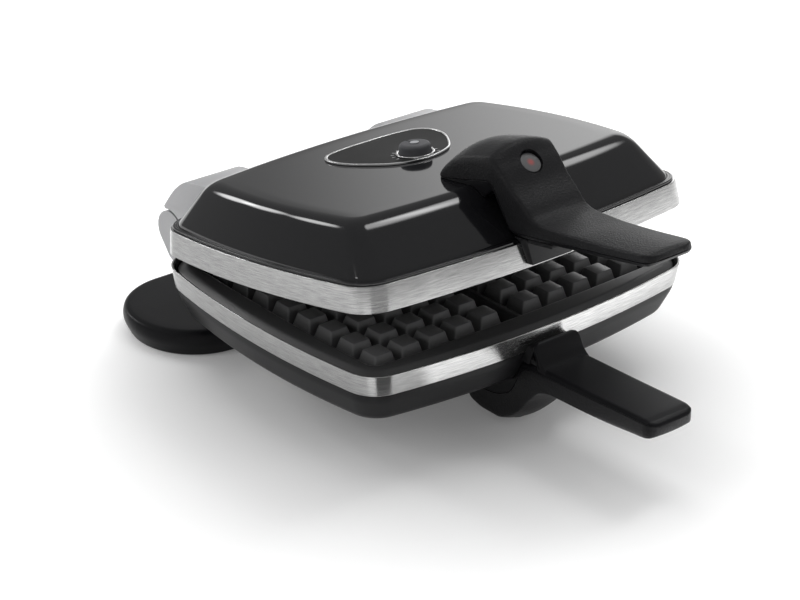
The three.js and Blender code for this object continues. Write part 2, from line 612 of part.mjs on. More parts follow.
function handleStation(handle, side, row) {
  const [partingY, partingH, edgeY, edgeH, innerY, innerH, widthShare, crownShare] = row;
  const parting = handlePoint(handle, side, partingY, partingH);
  const edge = handlePoint(handle, side, edgeY, edgeH);
  return { parting, edge, inner: handlePoint(handle, side, innerY, innerH),
    rise: edge.clone().sub(parting).normalize(), halfWidth: handle.halfWidth * widthShare,
    crown: handle.crown * crownShare };
}

// The outer moulding: flat at the parting line, crowned on the outside.
function handleOuter(handle, side, rows) {
  return skin(rows.map((row) => {
    const { parting, edge, rise, halfWidth, crown } = handleStation(handle, side, row);
    const arch = crownShares.map((share) => edge.clone().addScaledVector(rise, crown * (1 - share ** 2))
      .setX(share * halfWidth));
    return [parting.clone().setX(-halfWidth), ...arch, parting.clone().setX(halfWidth)];
  }), { flatten: frontView });
}

// The inner moulding: from the parting line to the body and to the inside of the grip.
function handleInner(handle, side, rows) {
  return skin(rows.map((row) => {
    const { parting, inner, rise, halfWidth } = handleStation(handle, side, row);
    const top = parting.clone().addScaledVector(rise, -clearance);
    const low = innerWidthShare * halfWidth;
    return [top.clone().setX(-halfWidth), inner.clone().setX(-low), inner.clone().setX(low),
      top.clone().setX(halfWidth)];
  }), { flatten: frontView });
}

function guardGeometry() {
  return skin(guardRowShares.map(([up, widthShare]) => {
    const y = THREE.MathUtils.lerp(guard.footY, guard.tipY, up);
    const half = THREE.MathUtils.lerp(guard.footHalf, guard.tipHalf, up);
    const z = level(-1, THREE.MathUtils.lerp(guard.footHeight, guard.tipHeight, up));
    const x = guard.halfWidth * widthShare;
    return [at(-x, y - half, z), at(x, y - half, z), at(x, y + half, z), at(-x, y + half, z)];
  }));
}

const handles = new Map([
  [1, { sizes: upperHandle, rows: upperHandleShares, shelfReach: bracket.upperShelfReach,
    screwReach: bracket.upperScrewReach, padNear: bracket.upperPadNear }],
  [-1, { sizes: lowerHandle, rows: lowerHandleShares, shelfReach: bracket.lowerShelfReach,
    screwReach: bracket.lowerScrewReach, padNear: bracket.lowerPadNear }],
]);

const frontFace = body.halfDepth + body.frontBow; // how far the middle of the front bows out

function shelfHeights(side) {
  const far = handles.get(side).sizes.gripHeight + (side > 0 ? 0 : bracket.lowerLift) - clearance;
  return { near: far - bracket.shelf, far };
}

function handleScrewLine(side, way) {
  const { near } = shelfHeights(side);
  const y = -frontFace - handles.get(side).screwReach;
  const head = at(way * bracket.screwX, y, level(side, near - clearance));
  return { head, tip: head.clone().setZ(level(side, near + screw.handleDepth)) };
}

function handleBores(side) {
  return [-1, 1].map((way) => {
    const { head, tip } = handleScrewLine(side, way);
    return rod(screw.bore, head.clone().setZ(head.z - side * overrun),
      tip.clone().setZ(tip.z + side * clearance));
  });
}

// Root bracket: a pad on the front of the band and a shelf under the grip.
function bracketGeometry(side) {
  const { near, far } = shelfHeights(side);
  const y = [-frontFace - bracket.padDepth, -frontFace + body.frontBow];
  const { padNear } = handles.get(side);
  const padRing = (yPlace) => [
    at(-bracket.padHalfTop, yPlace, level(side, far)),
    at(-bracket.padHalfFoot, yPlace, level(side, padNear)),
    at(bracket.padHalfFoot, yPlace, level(side, padNear)),
    at(bracket.padHalfTop, yPlace, level(side, far)),
  ];
  const padBody = skin(y.map(padRing), { flatten: frontView });
  const shelfStart = -frontFace + band.lowerTaper;
  const shelf = block([-bracket.shelfHalfWidth, bracket.shelfHalfWidth],
    [-frontFace - handles.get(side).shelfReach, shelfStart], [level(side, near), level(side, far)]);
  const trimmed = carve(padBody, halfEnvelope(side, clearance));
  return carve(join(trimmed, shelf), halfEnvelope(side, clearance), ...handleBores(side));
}

// Hinges

const pivot = at(0, hinge.pivotY, midPlane);

function arcPoints(radius, [fromDegrees, toDegrees], steps) {
  return Array.from({ length: steps + 1 }, (_, k) => {
    const angle = (fromDegrees + ((toDegrees - fromDegrees) * k) / steps) * degrees;
    return [pivot.y + radius * Math.cos(angle), pivot.z + radius * Math.sin(angle)];
  });
}

function hingeSpan(way) {
  const edges = [way * (hinge.centreX - hinge.width / 2), way * (hinge.centreX + hinge.width / 2)];
  return { left: Math.min(...edges), right: Math.max(...edges), inner: edges[0], outer: edges[1] };
}

function pinBore(way) {
  const { inner, outer } = hingeSpan(way);
  return rod(hinge.pinBore, pivot.clone().setX(inner - way * overrun),
    pivot.clone().setX(outer - way * hinge.blindWall));
}

function upperHingeGeometry(way) {
  const { left, right } = hingeSpan(way);
  const ridge = ridgeRowShares.map(([back, lift]) => [
    THREE.MathUtils.lerp(hinge.ridgeY, hinge.tailY, back),
    level(1, THREE.MathUtils.lerp(hinge.tailHeight, hinge.topHeight, lift)),
  ]);
  const profile = [
    [hinge.topY, level(1, hinge.flangeHeight)],
    [hinge.topY, level(1, hinge.topHeight)],
    [hinge.ridgeY, level(1, hinge.topHeight)],
    ...ridge,
    [hinge.tailY, level(1, hinge.tailHeight)],
    ...arcPoints(hinge.socketRadius, socketDegrees, cornerSteps),
    [hinge.flangeY, level(1, hinge.flangeHeight)],
  ];
  const knuckleHalf = hinge.width / 2 - hinge.cheek - hinge.sideGap;
  const centre = way * hinge.centreX;
  const knuckle = rod(hinge.knuckleRadius, pivot.clone().setX(centre - knuckleHalf),
    pivot.clone().setX(centre + knuckleHalf), roundSides);
  const web = block([centre - knuckleHalf, centre + knuckleHalf],
    [hinge.pivotY - hinge.knuckleRadius / 2, hinge.pivotY + hinge.knuckleRadius / 4],
    [pivot.z + hinge.knuckleRadius / 2, pivot.z + hinge.socketRadius + overrun]);
  const bores = [pinBore(way)];
  const { face, normal } = coverScrewPlace(way);
  bores.push(rod(screw.bore, face.clone().addScaledVector(normal, -overrun),
    face.clone().addScaledVector(normal, hinge.upperScrewDepth + clearance)));
  const trimmed = carve(sideExtrusion(profile, left, right), halfEnvelope(1, clearance));
  return carve(join(trimmed, knuckle, web), ...bores);
}

function lowerHingeGeometry(way) {
  const { left, right } = hingeSpan(way);
  const foot = level(-1, hinge.baseFoot);
  const top = level(-1, hinge.baseTop);
  const start = hinge.topY;
  const cheekProfile = [...arcPoints(hinge.headRadius, headDegrees, 2 * cornerSteps),
    [hinge.baseRearY, top], [start, top], [start, foot], [hinge.baseToe, foot],
    [hinge.heelY, level(-1, hinge.heelHeight)]];
  const baseProfile = [[start, top], [hinge.baseRearY, top],
    [hinge.baseRearY, level(-1, hinge.baseRearFoot)], [hinge.baseToe, foot], [start, foot]];
  const trim = halfEnvelope(-1, clearance);
  const base = sideExtrusion(baseProfile, left, right);
  const cheeks = [sideExtrusion(cheekProfile, left, left + hinge.cheek),
    sideExtrusion(cheekProfile, right - hinge.cheek, right)];
  const { head, tip } = lowerHingeScrewLine(way);
  const bore = rod(screw.bore, head.clone().setY(head.y + overrun), tip);
  return carve(join(base, ...cheeks), trim, pinBore(way), bore);
}

function lowerHingeScrewLine(way) {
  const z = level(-1, hinge.screwHeight);
  return { head: at(way * hinge.centreX, hinge.baseRearY + clearance, z),
    tip: at(way * hinge.centreX, hinge.screwTip, z) };
}

function lowerHingeScrewBores() {
  return [-1, 1].map((way) => {
    const { head, tip } = lowerHingeScrewLine(way);
    return rod(screw.bore, head, tip.clone().setY(tip.y - clearance));
  });
}

function pinGeometry(way) {
  const { inner, outer } = hingeSpan(way);
  return rod(hinge.pinRadius, pivot.clone().setX(inner - way * hinge.pinTail),
    pivot.clone().setX(outer - way * (hinge.blindWall + clearance)));
}

function clipGeometry(way) {
  const { inner } = hingeSpan(way);
  const near = inner - way * clearance;
  const disc = rod(hinge.clipRadius, pivot.clone().setX(near),
    pivot.clone().setX(near - way * hinge.clipWidth));
  const bore = rod(hinge.pinBore, pivot.clone().setX(near + way * overrun),
    pivot.clone().setX(near - way * (hinge.clipWidth + overrun)));
  return carve(disc, bore);
}

// Stand, pads and cord gland

function standGeometry() {
  const ring = (tuck, depthTuck, height) => roundedRing(stand.centreY, stand.halfWidth - tuck,
    stand.halfDepth - depthTuck, stand.halfDepth - depthTuck, height);
  const solid = skin([
    ring(stand.footTuck, stand.footDepthTuck, stand.base),
    ring(stand.footTuck - stand.shoulderTuck, stand.footDepthTuck - stand.shoulderTuck,
      stand.base + overrun),
    ring(0, 0, stand.bulgeHeight),
    ring(stand.shoulderTuck, stand.shoulderTuck, stand.shoulderHeight),
    ring(stand.edgeTuck, stand.edgeTuck, stand.height),
  ]);
  return carve(solid, ...[-1, 1].map((way) => padPocket(pad.radius, way * pad.standX, stand.centreY)));
}

function padPocket(radius, x, y) {
  return rod(radius + clearance, at(x, y, -overrun), at(x, y, pad.height + clearance), roundSides);
}

function padGeometry(radius, x, y) {
  return rod(radius, at(x, y, 0), at(x, y, pad.height), roundSides);
}

function neckGeometry() {
  const solid = skin([
    roundedRing(neck.footY, neck.footHalfWidth, neck.footHalfDepth, neck.radius, stand.height + clearance),
    roundedRing(neck.topY, neck.topHalfWidth, neck.topHalfDepth, neck.radius,
      level(-1, panFloor + clearance)),
  ]);
  return carve(solid, ...[-1, 1].map((way) => {
    const { head, tip } = neckScrewLine(way);
    return rod(screw.bore, head, tip.clone().setZ(tip.z - clearance));
  }));
}

function neckScrewLine(way) {
  const head = at(way * neck.screwX, neck.topY, level(-1, panFloor - pan.wall - clearance));
  return { head, tip: head.clone().setZ(head.z - neck.screwDepth) };
}

function glandGeometry() {
  const wallY = frontFace - pan.rimInset;
  const profile = [[gland.bore, -gland.inner], [gland.radius, -gland.inner], [gland.radius, clearance],
    [gland.collarRadius, clearance], [gland.collarRadius, clearance + gland.collar],
    [gland.radius, clearance + gland.collar], [gland.bore + pan.wall, gland.tail],
    [gland.bore, gland.tail]];
  return turned([...profile, profile[0]]).rotateX(-Math.PI / 2)
    .translate(0, wallY, level(-1, gland.height));
}

// Badge, dial and thermostat

function badgeOutline(inset) {
  const halfLength = badge.length / 2;
  const place = ([across, along]) => at(across * (badge.halfWidth - inset),
    badge.frontY + halfLength + (2 * along - 1) * (halfLength - inset), 0);
  const right = badgeHalfShares.map(place);
  const left = right.slice(1, -1).reverse().map((point) => point.clone().setX(-point.x));
  const curve = new THREE.CatmullRomCurve3([...right, ...left], true);
  return curve.getPoints(badgeSteps).slice(0, -1).map(planView);
}

const badgeFoot = coverTop + clearance;
const badgeFace = badgeFoot + badge.thickness;

function badgeSheet(inset, foot, top) {
  const shape = new THREE.Shape(badgeOutline(inset));
  const sheet = new THREE.ExtrudeGeometry(shape, { depth: top - foot, bevelEnabled: false });
  return sheet.translate(0, 0, level(1, foot));
}

function badgePlateGeometry() {
  const sheet = badgeSheet(badge.rim + clearance, badgeFoot, badgeFace);
  return carve(sheet, rod(dial.neckRadius + clearance, at(0, dial.centreY, level(1, badgeFoot - overrun)),
    at(0, dial.centreY, level(1, badgeFace + overrun)), roundSides));
}

function badgeRimGeometry() {
  const rimTop = badgeFoot + badge.rimHeight;
  return carve(badgeSheet(0, badgeFoot, rimTop),
    badgeSheet(badge.rim, badgeFoot - overrun, rimTop + overrun));
}

// Bodies on the dial's axis, from (radius, height) profiles counted from the meeting plane.
function dialBody(profile) {
  return turned(profile.map(([radius, height]) => [radius, level(1, height)]))
    .translate(0, dial.centreY, 0);
}

const ringFoot = badgeFace + clearance;
const neckTop = badgeFace + dial.neckHeight;
const knobFoot = badgeFace + dial.knobLift;

function dialRingGeometry() {
  const [foot, top] = [ringFoot, ringFoot + dial.ringHeight];
  return dialBody([[dial.ringBore, foot], [dial.ringRadius, foot], [dial.ringRadius, top],
    [dial.ringBore, top], [dial.ringBore, foot]]);
}

function nutGeometry() {
  const [foot, top] = [ringFoot, ringFoot + dial.nutHeight];
  const onAxis = (height) => at(0, dial.centreY, level(1, height));
  return carve(rod(dial.nutRadius, onAxis(foot), onAxis(top), nutSides),
    rod(dial.neckRadius + clearance, onAxis(foot - overrun), onAxis(top + overrun), roundSides));
}

function thermostatGeometry() {
  const probeFoot = stacks.get(1).back + clearance;
  return dialBody([[0, probeFoot], [dial.probeRadius, probeFoot], [dial.probeRadius, dial.bodyFoot],
    [dial.bodyRadius, dial.bodyFoot], [dial.bodyRadius, dial.bodyTop], [dial.neckRadius, dial.bodyTop],
    [dial.neckRadius, neckTop], [dial.spindleBore, neckTop],
    [dial.spindleBore, dial.spindleFoot - clearance], [0, dial.spindleFoot - clearance]]);
}

const knobTop = knobFoot + dial.knobHeight;
const spindleTop = knobTop - dial.knobWall - clearance;

function knobGeometry() {
  const bore = dial.spindleRadius + clearance;
  const roof = knobFoot + dial.recessHeight;
  const recess = dial.knobRadius - dial.knobWall;
  const solid = dialBody([[0, knobTop], [dial.knobRadius - dial.knobEdge, knobTop],
    [dial.knobRadius, knobTop - dial.knobEdge], [dial.knobRadius, knobFoot], [recess, knobFoot],
    [recess, roof], [bore, roof], [bore, spindleTop + clearance], [0, spindleTop + clearance]]);
  const pointer = block([-dial.groove / 2, dial.groove / 2],
    [dial.centreY, dial.centreY + dial.knobRadius + overrun],
    [level(1, knobTop - dial.grooveDepth), level(1, knobTop + overrun)]);
  return carve(solid, pointer);
}

function spindleGeometry() {
  return rod(dial.spindleRadius, at(0, dial.centreY, level(1, dial.spindleFoot)),
    at(0, dial.centreY, level(1, spindleTop)));
}

function trayProbeHole() {
  const { trayFloor } = stacks.get(1);
  return rod(dial.probeRadius + clearance, at(0, dial.centreY, level(1, trayFloor - overrun)),
    at(0, dial.centreY, level(1, trayFloor + tray.wall + overrun)), roundSides);
}

// Indicator lamp in the front slope of the upper handle

const lampNormal = at(0, -Math.sin(lamp.tiltDegrees * degrees), Math.cos(lamp.tiltDegrees * degrees));
const lampCentre = at(0, lamp.centreY, level(1, lamp.height));
const lampPoint = (depth) => lampCentre.clone().addScaledVector(lampNormal, -depth);

function lampRing(outer, inner, from, to) {
  const tube = rod(outer, lampPoint(from), lampPoint(to), roundSides);
  return carve(tube, rod(inner, lampPoint(from - overrun), lampPoint(to + overrun), roundSides));
}

const lampSeat = lamp.pocketDepth - clearance;

function lampPocket() {
  const pocket = rod(lamp.pocketRadius, lampPoint(-lamp.pocketRise), lampPoint(lamp.pocketDepth),
    roundSides);
  const well = rod(lamp.bulbRadius + clearance, lampPoint(0),
    lampPoint(lamp.pocketDepth + lamp.bulbLength));
  return join(pocket, well);
}

function bezelGeometry() {
  return lampRing(lamp.bezelRadius, lamp.bezelBore, lampSeat - lamp.bezelHeight, lampSeat);
}

function lensGeometry() {
  return rod(lamp.lensRadius, lampPoint(lampSeat - lamp.lensHeight), lampPoint(lampSeat), roundSides);
}

function bulbGeometry() {
  const start = lamp.pocketDepth;
  return rod(lamp.bulbRadius, lampPoint(start), lampPoint(start + lamp.bulbLength - clearance));
}

// Scene

const maker = new THREE.Group();
const lidTurn = new THREE.Group();
lidTurn.position.copy(pivot);
lidTurn.rotation.x = -openDegrees * degrees;
const lid = new THREE.Group();
lid.position.copy(pivot).negate();
lidTurn.add(lid);
maker.add(lidTurn);

function place(parent, name, geometry, finish) {
  const mesh = new THREE.Mesh(geometry, new THREE.MeshStandardMaterial(finish));
  mesh.name = name;
  parent.add(mesh);
}

function plateScrew(side, headHeight) {
  const { trayFloor } = stacks.get(side);
  const tipHeight = trayFloor - plate.boreDepth;
  return (way) => screwBody(at(way * plate.bossX, 0, level(side, headHeight)),
    at(way * plate.bossX, 0, level(side, tipHeight)));
}

for (const [side, half, parent] of [[-1, 'lower', maker], [1, 'upper', lid]]) {
  const { sizes, rows } = handles.get(side);
  const outer = handleOuter(sizes, side, rows);
  const inner = handleInner(sizes, side, rows);
  const bores = handleBores(side);
  const rearBores = side < 0 ? lowerHingeScrewBores() : [];
  const frontPocket = side < 0 ? padPocket(pad.frontRadius, 0, pad.frontY) : lampPocket();
  const liner = side < 0 ? join(inner, guardGeometry()) : inner;
  place(parent, `${half}_band`, carve(bandGeometry(side), ...rearBores), brushedSteel);
  place(parent, `${half}_waffle_plate`, carve(plateGeometry(side), ...rearBores), nonStick);
  place(parent, `${half}_heat_tray`, trayGeometry(side, side > 0 ? [trayProbeHole()] : []), plainSteel);
  place(parent, `${half}_heating_element`, elementGeometry(side), plainSteel);
  place(parent, `${half}_terminal_block`, terminalGeometry(side), ceramic);
  place(parent, `${half}_handle_outer`, carve(outer, frontPocket, ...bores), blackPlastic);
  place(parent, `${half}_handle_inner`, carve(liner, halfEnvelope(side, clearance), ...bores),
    blackPlastic);
  place(parent, `${half}_handle_bracket`, bracketGeometry(side), blackSatin);
}
place(maker, 'lower_pan', panGeometry(), blackSatin);
place(lid, 'upper_cover', coverGeometry(), blackGloss);

const lowerPlateScrew = plateScrew(-1, panFloor + clearance);
const upperPlateScrew = plateScrew(1, stacks.get(1).trayFloor + tray.wall + clearance);
for (const [way, hand] of [[-1, 'left'], [1, 'right']]) {
  place(maker, `lower_plate_screw_${hand}`, lowerPlateScrew(way), plainSteel);
  place(lid, `upper_plate_screw_${hand}`, upperPlateScrew(way), plainSteel);
  for (const [side, half, parent] of [[-1, 'lower', maker], [1, 'upper', lid]]) {
    const { head, tip } = handleScrewLine(side, way);
    place(parent, `${half}_handle_screw_${hand}`, screwBody(head, tip), plainSteel);
  }
  place(maker, `lower_hinge_bracket_${hand}`, lowerHingeGeometry(way), silverPaint);
  place(lid, `upper_hinge_bracket_${hand}`, upperHingeGeometry(way), silverPaint);
  place(maker, `hinge_pin_${hand}`, pinGeometry(way), plainSteel);
  place(maker, `hinge_clip_${hand}`, clipGeometry(way), plainSteel);
  const lowerLine = lowerHingeScrewLine(way);
  place(maker, `lower_hinge_screw_${hand}`, screwBody(lowerLine.head, lowerLine.tip), plainSteel);
  const { face, normal } = coverScrewPlace(way);
  const seat = face.clone().addScaledVector(normal, -hinge.upperScrewSeat);
  const tip = face.clone().addScaledVector(normal, hinge.upperScrewDepth);
  place(lid, `upper_hinge_screw_${hand}`, screwBody(seat, tip), plainSteel);
  const neckLine = neckScrewLine(way);
  place(maker, `stand_screw_${hand}`, screwBody(neckLine.head, neckLine.tip), plainSteel);
  place(maker, `stand_pad_${hand}`, padGeometry(pad.radius, way * pad.standX, stand.centreY), blackRubber);
}
place(maker, 'rear_stand', standGeometry(), blackPlastic);
place(maker, 'stand_neck', neckGeometry(), blackPlastic);
place(maker, 'front_foot_pad', padGeometry(pad.frontRadius, 0, pad.frontY), blackRubber);
place(maker, 'cord_gland', glandGeometry(), blackRubber);
place(lid, 'badge_plate', badgePlateGeometry(), blackGloss);
place(lid, 'badge_rim', badgeRimGeometry(), brushedSteel);
place(lid, 'dial_ring', dialRingGeometry(), brushedSteel);
place(lid, 'thermostat_nut', nutGeometry(), plainSteel);
place(lid, 'thermostat_body', thermostatGeometry(), ceramic);
place(lid, 'thermostat_knob', knobGeometry(), darkKnob);
place(lid, 'thermostat_spindle', spindleGeometry(), plainSteel);
place(lid, 'indicator_bezel', bezelGeometry(), blackPlastic);
place(lid, 'indicator_lens', lensGeometry(), greyLens);
place(lid, 'indicator_lamp', bulbGeometry(), redGlass);

// The origin is on the ground under the middle of the whole part.
maker.updateMatrixWorld(true);
const bounds = new THREE.Box3().setFromObject(maker, true);
maker.position.y = -(bounds.min.y + bounds.max.y) / 2;

export default maker;
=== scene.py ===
import json
import math

import bmesh
import bpy
from mathutils import Matrix, Vector


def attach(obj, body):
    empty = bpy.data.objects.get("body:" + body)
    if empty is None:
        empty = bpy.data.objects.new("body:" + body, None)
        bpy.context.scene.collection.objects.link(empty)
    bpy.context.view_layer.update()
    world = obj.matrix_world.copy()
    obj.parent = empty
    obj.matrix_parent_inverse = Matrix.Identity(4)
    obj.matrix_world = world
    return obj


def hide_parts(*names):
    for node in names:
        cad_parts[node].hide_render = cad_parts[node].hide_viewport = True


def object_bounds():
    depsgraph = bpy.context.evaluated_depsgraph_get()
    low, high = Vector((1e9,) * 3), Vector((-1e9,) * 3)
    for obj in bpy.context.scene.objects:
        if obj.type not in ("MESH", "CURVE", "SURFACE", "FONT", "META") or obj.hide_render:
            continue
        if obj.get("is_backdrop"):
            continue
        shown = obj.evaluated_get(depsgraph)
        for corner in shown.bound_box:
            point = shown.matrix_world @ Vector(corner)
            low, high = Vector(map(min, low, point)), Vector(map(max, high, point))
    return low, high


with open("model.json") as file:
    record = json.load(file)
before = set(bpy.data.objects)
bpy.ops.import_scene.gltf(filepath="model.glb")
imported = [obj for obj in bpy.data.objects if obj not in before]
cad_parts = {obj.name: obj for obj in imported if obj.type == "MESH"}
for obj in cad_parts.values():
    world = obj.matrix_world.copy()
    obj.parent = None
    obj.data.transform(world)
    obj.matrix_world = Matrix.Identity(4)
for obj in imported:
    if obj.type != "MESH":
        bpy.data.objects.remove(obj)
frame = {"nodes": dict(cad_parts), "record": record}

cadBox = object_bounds()
cadNodes = frame["nodes"]
scene = bpy.context.scene

# Shapes are written in millimetres in the frame of the closed iron, then placed at rest.
placing = {"unit": 0.001, "shiftY": 20.5, "midPlane": 72.5, "pivotY": 139.0, "openDegrees": 9.137}
pivot = Vector((0, placing["pivotY"], placing["midPlane"]))
toRow = Matrix.Scale(placing["unit"], 4) @ Matrix.Translation((0, placing["shiftY"], 0))
lidTurn = (Matrix.Translation(pivot) @ Matrix.Rotation(-math.radians(placing["openDegrees"]), 4, "X")
           @ Matrix.Translation(-pivot))
restPlace = {"base": toRow, "lid": toRow @ lidTurn, "knob": toRow @ lidTurn}
bodyOfSide = {1: "lid", -1: "base"}
halfName = {1: "upper", -1: "lower"}


def level(side, height):
    return placing["midPlane"] + side * height


print("materials")

finishing = {"grainDepth": 0.0002, "brushDepth": 0.00005, "lensDepth": 0.0001, "clouds": 14.0}


# Makes a node; a value in inputs is either a constant or the socket that feeds that input.
def addNode(tree, kind, inputs=None, **settings):
    node = tree.nodes.new(kind)
    for key, value in settings.items():
        setattr(node, key, value)
    for key, value in (inputs or {}).items():
        if isinstance(value, bpy.types.NodeSocket):
            tree.links.new(value, node.inputs[key])
        else:
            node.inputs[key].default_value = value
    return node


def addMath(tree, operation, *values):
    return addNode(tree, "ShaderNodeMath", dict(enumerate(values)), operation=operation).outputs[0]


def addVector(tree, operation, first, second):
    return addNode(tree, "ShaderNodeVectorMath", {0: first, 1: second}, operation=operation).outputs


def addRange(tree, value, low, high, toLow=0.0, toHigh=1.0, curve="LINEAR"):
    return addNode(tree, "ShaderNodeMapRange", {
        "Value": value, "From Min": low, "From Max": high, "To Min": toLow, "To Max": toHigh},
        interpolation_type=curve).outputs["Result"]


def addNoise(tree, place, scale, detail, rough):
    return addNode(tree, "ShaderNodeTexNoise", {
        "Vector": place, "Scale": scale, "Detail": detail, "Roughness": rough}).outputs["Fac"]


def objectPlace(tree):
    return addNode(tree, "ShaderNodeTexCoord").outputs["Object"]


def openTree(name, kind, inputs, outputs):
    tree = bpy.data.node_groups.new(name, kind)
    for way, sockets in (("INPUT", inputs), ("OUTPUT", outputs)):
        for label, socketType in sockets.items():
            tree.interface.new_socket(label, in_out=way, socket_type=f"NodeSocket{socketType}")
    return tree, addNode(tree, "NodeGroupInput").outputs


def newGroup(name, inputs, outputs):
    group, into = openTree(name, "ShaderNodeTree", dict.fromkeys(inputs, "Float"),
                           dict.fromkeys(outputs, "Float"))
    for socket in group.interface.items_tree:
        if socket.name in inputs:
            socket.default_value = inputs[socket.name]
    return group, into


# Fine moulded or sprayed grain: a height for bump and a tone from 0 to 1.
grainGroup, into = newGroup("fineGrain", {"Scale": 900.0, "Detail": 3.0}, ["Height", "Tone"])
place = objectPlace(grainGroup)
grainNoise = addNoise(grainGroup, place, into["Scale"], into["Detail"], 0.6)
grainCells = addNode(grainGroup, "ShaderNodeTexVoronoi", {"Vector": place, "Scale": into["Scale"]},
                     feature="SMOOTH_F1").outputs["Distance"]
addNode(grainGroup, "NodeGroupOutput", {
    "Height": addMath(grainGroup, "ADD", grainNoise, grainCells), "Tone": grainNoise})

# Slow clouds that vary a roughness between two values.
cloudGroup, into = newGroup("slowClouds", {"Scale": 12.0, "Low": 0.2, "High": 0.3}, ["Value"])
cloudRange = (0.3, 0.7)
cloudNoise = addNoise(cloudGroup, objectPlace(cloudGroup), into["Scale"], 4.0, 0.55)
addNode(cloudGroup, "NodeGroupOutput", {
    "Value": addRange(cloudGroup, cloudNoise, *cloudRange, into["Low"], into["High"])})

# Brushing that runs along the U of a piece's own map: fine lines, and wider streaks from 0 to 1.
streak = {"scale": (3.0, 0.26, 1.0), "range": (0.32, 0.68)}
brushGroup, into = newGroup("brushedLines", {"Across": 5200.0, "Along": 26.0}, ["Lines", "Streaks"])
brushScale = addNode(brushGroup, "ShaderNodeCombineXYZ", {"X": into["Along"], "Y": into["Across"], "Z": 1.0})
brushMap = addNode(brushGroup, "ShaderNodeUVMap", uv_map="along").outputs["UV"]
brushPlace = addVector(brushGroup, "MULTIPLY", brushMap, brushScale.outputs["Vector"])["Vector"]
streakPlace = addVector(brushGroup, "MULTIPLY", brushPlace, streak["scale"])["Vector"]
streakNoise = addNoise(brushGroup, streakPlace, 1.0, 2.0, 0.5)
addNode(brushGroup, "NodeGroupOutput", {
    "Lines": addNoise(brushGroup, brushPlace, 1.0, 3.0, 0.7),
    "Streaks": addRange(brushGroup, streakNoise, *streak["range"])})


def newMaterial(name, **sockets):
    material = bpy.data.materials.new(name)
    material.use_nodes = True
    tree = material.node_tree
    shader = tree.nodes["Principled BSDF"]
    for key, value in sockets.items():
        shader.inputs[key].default_value = value
    return material, tree, shader


def placeGroup(tree, group, **values):
    return addNode(tree, "ShaderNodeGroup", values, node_tree=group).outputs


def addBump(tree, shader, height, strength, distance):
    bump = addNode(tree, "ShaderNodeBump", {"Height": height, "Strength": strength, "Distance": distance})
    tree.links.new(bump.outputs["Normal"], shader.inputs["Normal"])


def mixColours(tree, factor, first, second):
    return addNode(tree, "ShaderNodeMix", {"Factor": factor, "A": (*first, 1), "B": (*second, 1)},
                   data_type="RGBA").outputs["Result"]


def grainedMaterial(name, dark, pale, rough, grain, bump, **sockets):
    material, tree, shader = newMaterial(name, **sockets)
    fine = placeGroup(tree, grainGroup, Scale=grain)
    slow = placeGroup(tree, cloudGroup, Scale=finishing["clouds"], Low=rough[0], High=rough[1])
    tree.links.new(mixColours(tree, fine["Tone"], dark, pale), shader.inputs["Base Color"])
    tree.links.new(slow["Value"], shader.inputs["Roughness"])
    addBump(tree, shader, fine["Height"], bump, finishing["grainDepth"])
    return material


# Dark colour, pale colour, roughness range, grain scale, bump, and other inputs of the shader.
specular, metallic = "Specular IOR Level", "Metallic"
finishes = {
    "glossEnamel": ((0.005, 0.005, 0.006), (0.008, 0.008, 0.009), (0.05, 0.09), 260.0, 0.012, {"IOR": 1.55}),
    "satinEnamel": ((0.008, 0.008, 0.009), (0.014, 0.014, 0.015), (0.34, 0.42), 1400.0, 0.10,
                    {specular: 0.2}),
    "grainedPlastic": ((0.007, 0.007, 0.008), (0.015, 0.015, 0.016), (0.38, 0.48), 950.0, 0.9,
                       {specular: 0.2}),
    "smoothPlastic": ((0.005, 0.005, 0.006), (0.008, 0.008, 0.009), (0.36, 0.44), 900.0, 0.08,
                      {specular: 0.16}),
    "nonStickCoat": ((0.048, 0.048, 0.049), (0.064, 0.064, 0.065), (0.28, 0.36), 1800.0, 0.12,
                     {metallic: 0.1}),
    # The blocks take a lighter copy of the non-stick coat: painted light on the blocks, which sit in the
    # lid's shade.
    "paintedLightBlockCoat": ((0.125, 0.125, 0.127), (0.16, 0.16, 0.162), (0.28, 0.36), 1800.0, 0.12, {metallic: 0.1}),
    "silverPaint": ((0.46, 0.46, 0.47), (0.52, 0.52, 0.53), (0.36, 0.44), 2600.0, 0.12, {metallic: 0.35}),
    "plainSteel": ((0.42, 0.43, 0.45), (0.5, 0.51, 0.53), (0.3, 0.42), 700.0, 0.08, {metallic: 1.0}),
    "brightSteel": ((0.7, 0.7, 0.7), (0.78, 0.78, 0.78), (0.16, 0.24), 500.0, 0.04, {metallic: 1.0}),
    "ceramicBody": ((0.72, 0.69, 0.62), (0.8, 0.77, 0.71), (0.6, 0.75), 1200.0, 0.2, {}),
    "knobPlastic": ((0.055, 0.056, 0.06), (0.07, 0.071, 0.076), (0.5, 0.6), 2200.0, 0.2, {specular: 0.3}),
    "rubberPad": ((0.010, 0.010, 0.010), (0.018, 0.018, 0.018), (0.7, 0.85), 1500.0, 0.35, {}),
    "printGrey": ((0.42, 0.42, 0.43), (0.5, 0.5, 0.51), (0.4, 0.5), 900.0, 0.05, {}),
    "badgeFace": ((0.007, 0.007, 0.007), (0.014, 0.014, 0.014), (0.45, 0.55), 1500.0, 0.25,
                  {specular: 0.12}),
}
paints = {name: grainedMaterial(name, *values, **sockets) for name, (*values, sockets) in finishes.items()}

